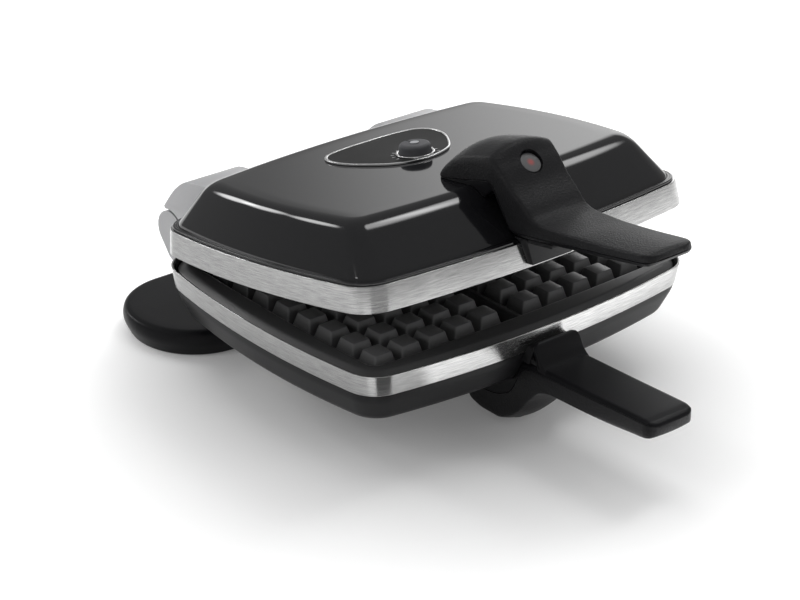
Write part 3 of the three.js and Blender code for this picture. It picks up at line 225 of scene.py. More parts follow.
brush = {"across": 5200.0, "along": 26.0, "lines": (0.3, 0.7), "dark": (0.42, 0.42, 0.42),
         "pale": (0.60, 0.60, 0.595), "rough": (0.20, 0.28), "bump": 0.3}
paints["brushedSteel"], tree, shader = newMaterial("brushedSteel", **{
    metallic: 1.0, "Anisotropic": 0.95, "Anisotropic Rotation": 0.25})
lines = placeGroup(tree, brushGroup, Across=brush["across"], Along=brush["along"])
tree.links.new(mixColours(tree, lines["Streaks"], brush["dark"], brush["pale"]), shader.inputs["Base Color"])
tree.links.new(addRange(tree, lines["Lines"], *brush["lines"], *brush["rough"]), shader.inputs["Roughness"])
addBump(tree, shader, lines["Lines"], brush["bump"], finishing["brushDepth"])

# The lens of the lamp: grey, with a soft red spot in its middle, which is the lamp's glow painted into the
# lens's colour.
lens = {"centreY": -104.5, "height": 59.6, "spot": 2.6, "fade": 1.4, "red": (0.36, 0.03, 0.026),
        "grey": (0.07, 0.07, 0.072), "grain": 1400.0, "bump": 0.2}
paints["lampLens"], tree, shader = newMaterial("lampLens", **{"Coat Weight": 0.4, "Roughness": 0.4})
paintedGlowCentre = restPlace["lid"] @ Vector((0, lens["centreY"], level(1, lens["height"])))
paintedGlowGap = addVector(tree, "DISTANCE", objectPlace(tree), tuple(paintedGlowCentre))["Value"]
paintedGlowEdge = addRange(tree, paintedGlowGap, (lens["spot"] - lens["fade"]) * placing["unit"],
                    (lens["spot"] + lens["fade"]) * placing["unit"], curve="SMOOTHSTEP")
tree.links.new(mixColours(tree, paintedGlowEdge, lens["red"], lens["grey"]), shader.inputs["Base Color"])
lensGrain = placeGroup(tree, grainGroup, Scale=lens["grain"])["Height"]
addBump(tree, shader, lensGrain, lens["bump"], finishing["lensDepth"])

glass = {"grain": 600.0, "bump": 0.05}
paints["redGlass"], tree, shader = newMaterial("redGlass", **{
    "Base Color": (0.5, 0.02, 0.015, 1), "Roughness": 0.15, "Transmission Weight": 0.6})
glassGrain = placeGroup(tree, grainGroup, Scale=glass["grain"])["Height"]
addBump(tree, shader, glassGrain, glass["bump"], finishing["lensDepth"])

slotOfPaint = {
    "glossEnamel": "gloss_black", "badgeFace": "gloss_black", "satinEnamel": "satin_black",
    "grainedPlastic": "black_plastic", "smoothPlastic": "black_plastic", "nonStickCoat": "non_stick",
    "paintedLightBlockCoat": "non_stick", "brightSteel": "brushed_steel", "brushedSteel": "brushed_steel",
    "printGrey": "brushed_steel", "plainSteel": "plain_steel", "silverPaint": "silver_paint",
    "ceramicBody": "ceramic", "knobPlastic": "dark_knob", "rubberPad": "black_rubber",
    "lampLens": "grey_lens", "redGlass": "red_glass",
}
# Where paints share a slot, the first of them is for the solids that stay as they are.
paintOfSlot = {slot: name for name, slot in reversed(slotOfPaint.items())}
for part in frame["record"]["subparts"]:
    nodeMaterials = cadNodes[part["node"]].data.materials
    nodeMaterials.clear()
    nodeMaterials.append(paints[paintOfSlot[part["material_slot"]]])

print("mesh tools")

meshing = {"merge": 1e-4, "tiny": 1e-6, "cornerShare": 0.45, "flatDegrees": 1.5, "edgeDegrees": 28}


def mix(first, second, share):
    return tuple(a + (b - a) * share for a, b in zip(first, second))


def gapInPlan(first, second):
    return math.hypot(first[0] - second[0], first[2] - second[2])


def gapInProfile(first, second):
    return math.dist(first[:2], second[:2])


def roundCorners(points, roundings, gap=gapInPlan, looped=False, steps=4):
    result = []
    last = len(points) - 1
    for k, (point, rounding) in enumerate(zip(points, roundings)):
        if rounding <= 0 or (not looped and k in (0, last)):
            result.append(point)
            continue
        start, end = (mix(point, other, min(meshing["cornerShare"],
                                            rounding / max(gap(point, other), meshing["tiny"])))
                      for other in (points[k - 1], points[(k + 1) % len(points)]))
        for step in range(steps + 1):
            share = step / steps
            result.append(mix(mix(start, point, share), mix(point, end, share), share))
    return result


def newObject(name, mesh):
    obj = bpy.data.objects.new(name, mesh)
    scene.collection.objects.link(obj)
    return obj


def meshObject(name, bm):
    mesh = bpy.data.meshes.new(name)
    bm.to_mesh(mesh)
    bm.free()
    return newObject(name, mesh)


def cleanMesh(bm):
    bmesh.ops.remove_doubles(bm, verts=bm.verts, dist=meshing["merge"])
    bmesh.ops.recalc_face_normals(bm, faces=bm.faces)


def finishPiece(name, bm, body, paint, nodes=(), sharp=38):
    cleanMesh(bm)
    bm.transform(restPlace[body])
    return finishObject(meshObject(name, bm), body, paint, nodes, sharp)


def finishObject(obj, body, paint, nodes=(), sharp=38):
    mesh = obj.data
    mesh.shade_smooth()
    mesh.set_sharp_from_angle(angle=math.radians(sharp))
    mesh.materials.clear()
    mesh.materials.append(paints[paint])
    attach(obj, body)
    if nodes:
        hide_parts(*nodes)
    return obj


# Faces between neighbouring rows of vertices, with both ends closed unless the rows run in a loop.
def skinRows(bm, rows, looped=False):
    size = len(rows[0])
    faces = [bm.faces.new((here[k], here[(k + 1) % size], there[(k + 1) % size], there[k]))
             for here, there in zip(rows, rows[1:] + rows[:1] if looped else rows[1:])
             for k in range(size)]
    if not looped:
        bm.faces.new(rows[0])
        bm.faces.new(rows[-1])
    return faces


# A skin over rings of equally many points, with a map that runs along the rings.
def ringSurface(rings, looped=False):
    bm = bmesh.new()
    mapping = bm.loops.layers.uv.new("along")
    faces = skinRows(bm, [[bm.verts.new(point) for point in ring] for ring in rings], looped)
    size = len(rings[0])
    around, down = [0.0], [0.0]
    for k in range(size):
        around.append(around[-1] + math.dist(rings[0][k], rings[0][(k + 1) % size]) * placing["unit"])
    for first, second in zip(rings, rings[1:] + rings[:1]):
        down.append(down[-1] + math.dist(first[0], second[0]) * placing["unit"])
    for index, face in enumerate(faces):
        r, k = divmod(index, size)
        for loop, (a, d) in zip(face.loops, ((k, r), (k + 1, r), (k + 1, r + 1), (k, r + 1))):
            loop[mapping].uv = (around[a], down[d])
    return bm


def applyModifiers(obj):
    shaped = bpy.data.meshes.new_from_object(obj.evaluated_get(bpy.context.evaluated_depsgraph_get()))
    shaped.name = obj.name
    obj.modifiers.clear()
    obj.data = shaped
    return obj


def cutBy(bm, *cutters, operation="DIFFERENCE"):
    solids = []
    for k, source in enumerate((bm, *cutters)):
        cleanMesh(source)
        solids.append(meshObject(f"solid{k}", source))
    for cutter in solids[1:]:
        boolean = solids[0].modifiers.new("cut", "BOOLEAN")
        boolean.operation = operation
        boolean.solver = "EXACT"
        boolean.object = cutter
    applyModifiers(solids[0])
    result = bmesh.new()
    result.from_mesh(solids[0].data)
    for solid in solids:
        bpy.data.objects.remove(solid)
    return result


def roundEdges(bm, edges, width, segments, **settings):
    bmesh.ops.bevel(bm, geom=edges, offset=width, segments=segments, profile=0.5, affect="EDGES", **settings)


def bevelSharp(bm, width, segments=3):
    bmesh.ops.dissolve_limit(bm, angle_limit=math.radians(meshing["flatDegrees"]), verts=bm.verts,
                             edges=bm.edges)
    edges = [edge for edge in bm.edges if len(edge.link_faces) == 2
             and edge.calc_face_angle(0) > math.radians(meshing["edgeDegrees"])]
    roundEdges(bm, edges, width, segments, offset_type="OFFSET", clamp_overlap=True)
    return bm


# A copy of a CAD solid with its edges broken, for pieces whose plain shape is right.
def softenNode(nodeName, body, paint, width=0.4, segments=2):
    bm = bmesh.new()
    bm.from_mesh(cadNodes[nodeName].data)
    bmesh.ops.remove_doubles(bm, verts=bm.verts, dist=meshing["tiny"])
    bevelSharp(bm, width * placing["unit"], segments)
    finishObject(meshObject(f"soft_{nodeName}", bm), body, paint, [nodeName])


def turnedBody(profile, sides=64, centre=(0, 0, 0), looped=False):
    bm = bmesh.new()
    rings = [[Vector((radius * math.cos(angle), radius * math.sin(angle), height)) + Vector(centre)
              for angle in (2 * math.pi * k / sides for k in range(sides))] for radius, height in profile]
    skinRows(bm, [[bm.verts.new(point) for point in ring] for ring in rings], looped)
    return bm


def rod(radius, low, high, centre=(0, 0, 0), sides=48):
    return turnedBody([(radius, low), (radius, high)], sides, centre)


def solidBox(lowest, highest):
    bm = bmesh.new()
    bmesh.ops.create_cube(bm, size=1)
    lowest, highest = Vector(lowest), Vector(highest)
    for vert in bm.verts:
        vert.co = (lowest + highest) / 2 + Vector(a * b for a, b in zip(vert.co, highest - lowest))
    return bm


def sideSolid(points, fromX, toX):
    bm = bmesh.new()
    skinRows(bm, [[bm.verts.new((x, y, z)) for y, z in points] for x in (fromX, toX)])
    return bm


print("shells")

plan = {"halfWidth": 133.9, "halfDepth": 106.4, "sideBow": 6.4, "frontBow": 8.7, "cornerRadius": 22.0,
        "cornerShrink": 0.35, "sideSteps": 20, "cornerSteps": 10}


# One row of a half's profile: inset at the sides, inset at the front, height, bow, corner radius.
def row(inset, height, frontInset=None, bow=1.0, radius=None):
    corner = plan["cornerRadius"] - plan["cornerShrink"] * inset if radius is None else radius
    return (inset, inset if frontInset is None else frontInset, height, bow, corner)


def bowedRing(side, values):
    inset, frontInset, height, bow, radius = values
    halfX = plan["halfWidth"] - inset - radius
    halfY = plan["halfDepth"] - frontInset - radius
    corners = [(-halfX, -halfY), (halfX, -halfY), (halfX, halfY), (-halfX, halfY)]
    arcs = []
    for k, (x, y) in enumerate(corners):
        nextX, nextY = corners[(k + 1) % 4]
        halfChord = math.hypot(nextX - x, nextY - y) / 2
        sagitta = bow * plan["sideBow" if k % 2 else "frontBow"]
        arcRadius = (halfChord ** 2 + sagitta ** 2) / (2 * sagitta)
        facing = math.radians(90 * (k - 1))
        back = arcRadius - sagitta
        centre = ((x + nextX) / 2 - back * math.cos(facing), (y + nextY) / 2 - back * math.sin(facing))
        arcs.append((centre, arcRadius, facing, math.asin(halfChord / arcRadius), (nextX, nextY)))
    ring = []
    z = level(side, height)

    def addArc(centre, reach, start, end, first, last, steps):
        for step in range(first, last + 1):
            angle = start + (end - start) * step / steps
            ring.append((centre[0] + reach * math.cos(angle), centre[1] + reach * math.sin(angle), z))

    for k, (centre, arcRadius, facing, half, end) in enumerate(arcs):
        nextStart = facing + math.radians(90) - arcs[(k + 1) % 4][3]
        addArc(centre, arcRadius + radius, facing - half, facing + half, 0, plan["sideSteps"],
               plan["sideSteps"])
        addArc(end, radius, facing + half, nextStart, 1, plan["cornerSteps"] - 1, plan["cornerSteps"])
    return ring


def halfSkin(side, rows, roundings, looped=False):
    values = roundCorners(rows, roundings, looped=looped)
    return ringSurface([bowedRing(side, one) for one in values], looped)


bands = {1: {"near": 0.8, "far": 16.9, "taper": 1.6}, -1: {"near": 0.7, "far": 14.9, "taper": 1.9}}
bandSheet = {"wall": 1.0, "lip": 8.4, "roundings": (0.5, 0.5, 0.3, 0.3, 0.4, 0.3)}
for side, sizes in bands.items():
    near, far, taper = sizes["near"], sizes["far"], sizes["taper"]
    wall, lip = bandSheet["wall"], bandSheet["lip"]
    rows = [row(0, near), row(taper, far), row(lip, far), row(lip, far - wall),
            row(taper + wall, far - wall), row(wall, near)]
    name = f"{halfName[side]}_band"
    finishPiece(f"brushed_{name}", halfSkin(side, rows, bandSheet["roundings"], True), bodyOfSide[side],
                "brushedSteel", [name])

fit = {"gap": 0.3}
shellFoot = {side: sizes["far"] + fit["gap"] for side, sizes in bands.items()}

cover = {"foot": 2.9, "beadHeight": 1.5, "beadInset": 4.5, "grooveHeight": 0.7, "grooveLean": 0.4,
         "slopeLean": 0.5, "slopeInset": 6.2, "slopeHeight": 2.6, "topSide": 20.5, "topFront": 32.0,
         "topHeight": 30.3, "topInsets": (14, 16), "corner": 10.0, "topBow": 0.85, "wall": 1.2,
         "roundings": (0, 0.7, 0.7, 0.3, 0.9, 1.2, 10.0, 0, 0), "steps": 8}


def coverRows(offset=0.0):
    foot = shellFoot[1]
    groove = foot + cover["grooveHeight"]
    top = foot + cover["topHeight"] + offset
    form = {"bow": cover["topBow"], "radius": cover["corner"]}
    return [
        row(cover["foot"] - offset, foot),
        row(cover["foot"] - offset, foot + cover["beadHeight"]),
        row(cover["beadInset"] - offset, foot + cover["beadHeight"]),
        row(cover["beadInset"] + cover["grooveLean"] - offset, groove),
        row(cover["slopeInset"] - cover["slopeLean"] - offset, groove),
        row(cover["slopeInset"] - offset, foot + cover["slopeHeight"]),
        *[row(cover["topSide"] + inset, top, cover["topFront"] + inset, **form)
          for inset in (-offset, *cover["topInsets"])],
    ]


# A pressed sheet: its inside from the middle out to the foot, then its outside back to the middle.
def shellSkin(side, rowsAt, sizes):
    roundings, steps = sizes["roundings"], sizes["steps"]
    values = (roundCorners(rowsAt(-sizes["wall"])[::-1], roundings[::-1], steps=steps)
              + roundCorners(rowsAt(), roundings, steps=steps))
    return ringSurface([bowedRing(side, one) for one in values])


neckHole = {"radius": 5.5, "centreY": 3.0, "low": 40, "high": 60}


def neckCutter():
    return rod(neckHole["radius"], level(1, neckHole["low"]), level(1, neckHole["high"]),
               (0, neckHole["centreY"], 0))


finishPiece("domed_cover", cutBy(shellSkin(1, coverRows, cover), neckCutter()), "lid", "glossEnamel",
            ["upper_cover"], sharp=30)

pan = {"rim": 2.2, "shoulder": 3.4, "shoulderDrop": 4.8, "flank": 8.6, "flankDrop": 17.8, "turn": 10.5,
       "turnDrop": 20.2, "floor": 14.0, "floorDrop": 21.4, "floorInsets": (6, 8), "wall": 1.2,
       "roundings": (0, 2.0, 1.5, 1.2, 1.5, 0, 0), "steps": 5}


def panRows(offset=0.0):
    foot = shellFoot[-1]
    floorHeight = foot + pan["floorDrop"] + offset
    return [
        row(pan["rim"] - offset, foot),
        row(pan["shoulder"] - offset, foot + pan["shoulderDrop"]),
        row(pan["flank"] - offset, foot + pan["flankDrop"] + offset),
        row(pan["turn"] - offset, foot + pan["turnDrop"] + offset),
        *[row(pan["floor"] + inset, floorHeight) for inset in (-offset, *pan["floorInsets"])],
    ]


finishPiece("satin_pan", shellSkin(-1, panRows, pan), "base", "satinEnamel", ["lower_pan"], sharp=30)

plate = {"outer": 3.4, "shoulder": 3.6, "bevel": 7.5, "bevelHeight": 0.7, "rim": 8.5, "rimHeight": 0.4,
         "fieldRim": 14.0, "fieldEdge": 15.5, "fieldEdgeHeight": 1.4, "field": 17.3, "floor": 13.1,
         "thickness": 4.0, "back": 14.5, "backInset": 6, "floorInsets": (0, 4, 5), "trayFlange": 1.0,
         "roundings": (0, 0.6, 0.4, 0.4, 0.8, 0.8, 0.5, 0.6, 0.8, 1.5, 0, 0)}
fieldForm = {"bow": 0.3, "radius": 8.0}
block = {"top": 12.6, "foot": 18.5, "topHeight": 2.1, "pitch": 21.0, "middleGap": 34.5, "columns": 5,
         "rows": 8, "sideBevel": 1.1, "topBevel": 0.5, "upright": 1.0, "level": 1e-3}
ridge = {"top": 4.0, "foot": 9.0, "height": 5.0, "edge": 1.2, "sink": 1.0}


# Geometry Nodes: one block, given as the mesh, on two fields of columns by rows.
def blockTree():
    tree, into = openTree("waffleFields", "GeometryNodeTree", {
        "Block": "Geometry", "Columns": "Int", "Rows": "Int", "Pitch": "Float", "Middle Gap": "Float"},
        {"Geometry": "Geometry"})
    spanX, spanY = (addMath(tree, "MULTIPLY", addMath(tree, "SUBTRACT", into[label], 1.0), into["Pitch"])
                    for label in ("Columns", "Rows"))
    total = addMath(tree, "ADD", spanX, into["Middle Gap"])
    fields = addNode(tree, "GeometryNodeJoinGeometry")
    for share in (-0.5, 0.5):
        grid = addNode(tree, "GeometryNodeMeshGrid", {
            "Size X": spanX, "Size Y": spanY, "Vertices X": into["Columns"], "Vertices Y": into["Rows"]})
        shift = addNode(tree, "ShaderNodeCombineXYZ", {"X": addMath(tree, "MULTIPLY", total, share)})
        move = addNode(tree, "GeometryNodeTransform", {
            "Geometry": grid.outputs["Mesh"], "Translation": shift.outputs[0]})
        tree.links.new(move.outputs["Geometry"], fields.inputs["Geometry"])
    return closeTree(tree, fields.outputs["Geometry"], into["Block"], "paintedLightBlockCoat")


# Ends a tree with a painted copy of one mesh on each of the points.
def closeTree(tree, points, instance, paint, **settings):
    copies = addNode(tree, "GeometryNodeInstanceOnPoints", {
        "Points": points, "Instance": instance, **settings})
    real = addNode(tree, "GeometryNodeRealizeInstances", {"Geometry": copies.outputs["Instances"]})
    painted = addNode(tree, "GeometryNodeSetMaterial", {
        "Geometry": real.outputs["Geometry"], "Material": paints[paint]})
    addNode(tree, "NodeGroupOutput", {"Geometry": painted.outputs["Geometry"]})
    return tree


# Runs a tree on a mesh and leaves a plain mesh, placed at rest.
def runTree(name, bm, tree, values, body):
    bmesh.ops.recalc_face_normals(bm, faces=bm.faces)
    obj = meshObject(name, bm)
    modifier = obj.modifiers.new(tree.name, "NODES")
    modifier.node_group = tree
    for item in tree.interface.items_tree:
        if item.item_type == "SOCKET" and item.in_out == "INPUT" and item.name in values:
            modifier[item.identifier] = values[item.name]
    applyModifiers(obj)
    obj.data.transform(restPlace[body])
    return obj


def oneBlock(side):
    depth = plate["floor"] - block["topHeight"]
    footing = plate["thickness"] / 2
    spread = (block["foot"] - block["top"]) * (depth + footing) / depth
    bm = bmesh.new()
    rows = []
    for half, height in (((block["top"] + spread) / 2, plate["floor"] + footing),
                         (block["top"] / 2, block["topHeight"])):
        rows.append([bm.verts.new((x * half, y * half, level(side, height)))
                     for x, y in ((-1, -1), (1, -1), (1, 1), (-1, 1))])
    skinRows(bm, rows)
    bmesh.ops.recalc_face_normals(bm, faces=bm.faces)
    upright = [edge for edge in bm.edges
               if abs(edge.verts[0].co.z - edge.verts[1].co.z) > block["upright"]]
    roundEdges(bm, upright, block["sideBevel"], segments=3)
    topZ = level(side, block["topHeight"])
    around = [edge for edge in bm.edges
              if all(abs(vert.co.z - topZ) < block["level"] for vert in edge.verts)]
    roundEdges(bm, around, block["topBevel"], segments=2)
    return bm


fieldTree = blockTree()
for side in (-1, 1):
    half, body = halfName[side], bodyOfSide[side]
    seat = bands[side]["far"] - bandSheet["wall"] - fit["gap"] - plate["trayFlange"] - fit["gap"]
    back = plate["floor"] + plate["thickness"]
    rows = [
        row(plate["back"] + plate["backInset"], back), row(plate["back"], back), row(plate["back"], seat),
        row(plate["outer"], seat), row(plate["outer"], plate["shoulder"]),
        row(plate["bevel"], plate["bevelHeight"]), row(plate["rim"], plate["rimHeight"]),
        row(plate["fieldRim"], plate["rimHeight"], **fieldForm),
        row(plate["fieldEdge"], plate["fieldEdgeHeight"], **fieldForm),
        *[row(plate["field"] + inset, plate["floor"], **fieldForm) for inset in plate["floorInsets"]],
    ]
    finishPiece(f"{half}_casting", halfSkin(side, rows, plate["roundings"]), body, "nonStickCoat",
                [f"{half}_waffle_plate"])
    # The blocks carry the lighter coat, which is painted light.
    blocks = runTree(f"{half}_blocks", oneBlock(side), fieldTree, {
        "Columns": block["columns"], "Rows": block["rows"], "Pitch": block["pitch"],
        "Middle Gap": block["middleGap"]}, body)
    finishObject(blocks, body, "paintedLightBlockCoat", sharp=30)
    reach = plan["halfDepth"] - plate["fieldEdge"] + ridge["sink"]
    foot = plate["floor"] + ridge["sink"]
    section = roundCorners([
        (-ridge["foot"] / 2, foot), (-ridge["top"] / 2, ridge["height"]),
        (ridge["top"] / 2, ridge["height"]), (ridge["foot"] / 2, foot)],
        [0, ridge["edge"], ridge["edge"], 0], gapInProfile)
    ridgeSkin = ringSurface([[(x, y, level(side, h)) for x, h in section] for y in (-reach, reach)])
    finishPiece(f"{half}_middle_ridge", ridgeSkin, body, "nonStickCoat")

print("handles")

# Each row, in thousandths: share of the reach and of the rise of the parting, the edge and the inner
# line, then half width and crown.
upperHandle = {
    "noseY": -46.03, "reach": 176, "gripHeight": 20.5, "rise": 47.4, "halfWidth": 24.5, "crown": 7,
    "rows": [
        (0, 584, 1, 606, 6, 560, 880, 210),
        (18, 588, 18, 665, 20, 545, 950, 510),
        (50, 599, 50, 760, 50, 535, 980, 800),
        (102, 620, 100, 865, 102, 525, 1000, 940),
        (160, 645, 160, 930, 150, 515, 1000, 1000),
        (225, 680, 233, 975, 195, 490, 1000, 970),
        (266, 694, 284, 1000, 228, 440, 1000, 860),
        (290, 643, 327, 886, 276, 547, 980, 360),
        (309, 475, 381, 631, 298, 393, 950, 240),
        (333, 253, 432, 443, 324, 199, 920, 240),
        (352, 105, 474, 285, 344, 70, 900, 260),
        (383, 72, 517, 230, 378, 12, 880, 260),
        (477, 63, 591, 205, 477, 0, 850, 260),
        (647, 70, 677, 186, 647, 0, 810, 260),
        (847, 82, 852, 171, 847, 11, 800, 260),
        (957, 89, 954, 175, 949, 23, 780, 230),
        (985, 91, 981, 172, 979, 30, 710, 200),
        (1000, 97, 998, 157, 993, 50, 520, 130),
    ],
}
lowerHandle = {
    "noseY": -57, "reach": 165, "gripHeight": 17.6, "rise": 49.2, "halfWidth": 20, "crown": 5,
    "rows": [
        (0, 618, 3, 699, 6, 453, 600, 230),
        (24, 679, 21, 841, 24, 415, 850, 800),
        (73, 720, 67, 950, 73, 377, 1000, 1000),
        (140, 715, 135, 1000, 120, 335, 1000, 1000),
        (195, 690, 205, 1000, 160, 305, 1000, 1000),
        (238, 640, 265, 925, 190, 290, 1000, 900),
        (279, 557, 315, 795, 224, 283, 1000, 750),
        (300, 440, 372, 560, 270, 300, 980, 500),
        (322, 270, 430, 385, 300, 190, 960, 350),
        (345, 165, 500, 328, 325, 100, 950, 350),
        (400, 130, 580, 318, 385, 55, 950, 350),
        (473, 116, 648, 313, 467, 44, 940, 350),
        (715, 81, 758, 297, 715, 25, 930, 350),
        (897, 55, 915, 248, 897, 4, 920, 350),
        (955, 49, 958, 234, 949, 0, 920, 300),
        (982, 47, 984, 214, 976, 10, 870, 250),
        (1000, 65, 1000, 185, 995, 36, 680, 150),
    ],
}
handleFinish = {"stations": 7, "outerEdge": 4.0, "partingEdge": 0.35, "innerEdge": 2.4, "gap": 0.3,
                "innerWidth": 0.94, "archSteps": 14, "endShares": {0: 0.14, 1: 0.03, -2: 0.03, -1: 0.14}}


# Smooth values between table rows, without overshoot.
def easedTable(places, table, stations):
    count = len(places)
    gaps = [places[k + 1] - places[k] for k in range(count - 1)]
    result = []
    columns = []
    for column in zip(*table):
        rates = [(column[k + 1] - column[k]) / gaps[k] for k in range(count - 1)]
        slopes = [rates[0]]
        for k in range(1, count - 1):
            if rates[k - 1] * rates[k] <= 0:
                slopes.append(0.0)
            else:
                before, after = 2 * gaps[k] + gaps[k - 1], gaps[k] + 2 * gaps[k - 1]
                slopes.append((before + after) / (before / rates[k - 1] + after / rates[k]))
        slopes.append(rates[-1])
        columns.append((column, slopes))
    for k in range(count - 1):
        for step in range(stations):
            t = step / stations
            result.append(tuple(
                (1 + 2 * t) * (1 - t) ** 2 * column[k] + t * (1 - t) ** 2 * gaps[k] * slopes[k]
                + t * t * (3 - 2 * t) * column[k + 1] - t * t * (1 - t) * gaps[k] * slopes[k + 1]
                for column, slopes in columns))
    result.append(tuple(table[-1]))
    return result


def handleSections(handle, side):
    def place(share, lift):
        height = handle["gripHeight"] + lift * handle["rise"]
        return Vector((0, handle["noseY"] - share * handle["reach"], level(side, height)))

    table = [[value / 1000 for value in values] for values in handle["rows"]]
    places = [0.0]
    for first, second in zip(table, table[1:]):
        outerStep = (place(first[2], first[3]) - place(second[2], second[3])).length
        innerStep = (place(first[0], first[1]) - place(second[0], second[1])).length
        places.append(places[-1] + (outerStep + innerStep) / 2)
    for values in easedTable(places, table, handleFinish["stations"]):
        parting, edge, inner = place(*values[0:2]), place(*values[2:4]), place(*values[4:6])
        yield parting, edge, inner, values[6] * handle["halfWidth"], values[7] * handle["crown"]


def besides(point, x):
    return (x, point.y, point.z)


def drawIn(ring, share):
    centre = tuple(sum(values) / len(ring) for values in zip(*ring))
    return [mix(point, centre, share) for point in ring]


def handleRings(handle, side, part):
    rings = []
    for parting, edge, inner, halfWidth, crown in handleSections(handle, side):
        rise = (edge - parting).normalized()
        if part == "outer":
            arch = []
            for k in range(handleFinish["archSteps"] + 1):
                share = 2 * k / handleFinish["archSteps"] - 1
                arch.append(besides(edge + rise * crown * (1 - share ** 2), share * halfWidth))
            points = [besides(parting, -halfWidth), *arch, besides(parting, halfWidth)]
            roundings = [handleFinish["partingEdge"], handleFinish["outerEdge"],
                         *[0] * (len(arch) - 2), handleFinish["outerEdge"], handleFinish["partingEdge"]]
        else:
            top = parting - rise * handleFinish["gap"]
            low = handleFinish["innerWidth"] * halfWidth
            points = [besides(top, -halfWidth), besides(inner, -low), besides(inner, low),
                      besides(top, halfWidth)]
            roundings = [handleFinish["partingEdge"], handleFinish["innerEdge"],
                         handleFinish["innerEdge"], handleFinish["partingEdge"]]
        rings.append(roundCorners(points, roundings, math.dist, looped=True))
    for k, share in handleFinish["endShares"].items():
        rings[k] = drawIn(rings[k], share)
    return rings


# The outside of a half, pushed out by an offset, to cut what stands against it.
def envelopeSkin(side, offset):
    sizes = bands[side]
    if side > 0:
        rows, roundings = coverRows(offset), cover["roundings"]
        shell = [rows[0], *roundCorners(rows[5:], roundings[5:], steps=cover["steps"])]
    else:
        shell = roundCorners(panRows(offset), pan["roundings"], steps=pan["steps"])
    first = [row(-offset, sizes["near"] - fit["gap"]),
             row(sizes["taper"] - offset, sizes["far"] + offset / 2)]
    return ringSurface([bowedRing(side, values) for values in first + shell])


lamp = {"tilt": 45.0, "pocket": 7.8, "depth": 3.4, "clear": 5.0, "ring": 7.6, "bore": 7.15, "lens": 6.9,
        "ringTop": 2.1, "lensTop": 2.0, "foot": -2.9, "edge": 0.3, "ringDrop": 0.4, "domeInset": 2,
        "domeLift": 0.15, "tip": 0.4, "tipLift": 0.2}
lampAxis = Vector((0, -math.sin(math.radians(lamp["tilt"])), math.cos(math.radians(lamp["tilt"]))))
lampPlace = (Matrix.Translation((0, lens["centreY"], level(1, lens["height"])))
             @ Vector((0, 0, 1)).rotation_difference(lampAxis).to_matrix().to_4x4())


def lampBody(profile, looped=False):
    bm = turnedBody(profile, looped=looped)
    bm.transform(lampPlace)
    return bm


footPocket = {"radius": 8.3, "centreY": -87.0, "low": -2, "top": 3.7, "sides": 64}


def pocketCutter(side):
    if side > 0:
        return lampBody([(lamp["pocket"], -lamp["depth"]), (lamp["pocket"], lamp["clear"])])
    return rod(footPocket["radius"], footPocket["low"], footPocket["top"], (0, footPocket["centreY"], 0),
               footPocket["sides"])


for side, handle in ((1, upperHandle), (-1, lowerHandle)):
    half, body = halfName[side], bodyOfSide[side]
    outer = cutBy(ringSurface(handleRings(handle, side, "outer")), pocketCutter(side))
    finishPiece(f"{half}_grip_shell", outer, body, "grainedPlastic", [f"{half}_handle_outer"], sharp=34)
    inner = cutBy(ringSurface(handleRings(handle, side, "inner")), envelopeSkin(side, fit["gap"]))
    finishPiece(f"{half}_grip_liner", inner, body, "smoothPlastic", [f"{half}_handle_inner"], sharp=34)
    softenNode(f"{half}_handle_bracket", body, "satinEnamel", 0.6, segments=3)

# The thumb guard rises from the lower grip with a hollow at its foot.
guard = {"footY": -127.9, "footHeight": 22.5, "tipY": -120.3, "tipHeight": 6.4, "footHalf": 2.6,
         "tipHalf": 1.3, "halfWidth": 18.5, "flare": 4.5, "flareShare": 0.42, "steps": 14,
         "roundFrom": 0.72, "roundSpan": 0.28, "narrowing": 0.24, "thinning": 0.55, "edge": 1.3}
guardRings = []
for step in range(guard["steps"] + 1):
    share = step / guard["steps"]
    y = guard["footY"] + (guard["tipY"] - guard["footY"]) * share
    half = guard["footHalf"] + (guard["tipHalf"] - guard["footHalf"]) * share
    z = level(-1, guard["footHeight"] + (guard["tipHeight"] - guard["footHeight"]) * share)
    flare = guard["flare"] * max(0.0, 1 - share / guard["flareShare"]) ** 2
    tipShare = max(0.0, (share - guard["roundFrom"]) / guard["roundSpan"])
    width = guard["halfWidth"] * (1 - guard["narrowing"] * (1 - math.sqrt(max(0.0, 1 - tipShare ** 2))))
    half *= 1 - guard["thinning"] * tipShare ** 3
    corners = [(-width, y - half - flare, z), (width, y - half - flare, z), (width, y + half, z),
               (-width, y + half, z)]
    guardRings.append(roundCorners(corners, [guard["edge"]] * 4, math.dist, looped=True))
finishPiece("thumb_guard", ringSurface(guardRings), "base", "smoothPlastic", sharp=50)

print("lamp")
finishPiece("lamp_ring", lampBody([
    (lamp["bore"], lamp["foot"]), (lamp["ring"], lamp["foot"]),
    (lamp["ring"], lamp["ringTop"] - lamp["ringDrop"]), (lamp["ring"] - lamp["edge"], lamp["ringTop"]),
    (lamp["bore"], lamp["ringTop"])], True), "lid", "smoothPlastic", ["indicator_bezel"])
finishPiece("lamp_lens", lampBody([
    (lamp["lens"], lamp["foot"]), (lamp["lens"], lamp["lensTop"] - lamp["edge"]),
    (lamp["lens"] - lamp["edge"], lamp["lensTop"]),
    (lamp["lens"] - lamp["domeInset"], lamp["lensTop"] + lamp["domeLift"]),
    (lamp["tip"], lamp["lensTop"] + lamp["tipLift"])]), "lid", "lampLens", ["indicator_lens"])

print("hinges")

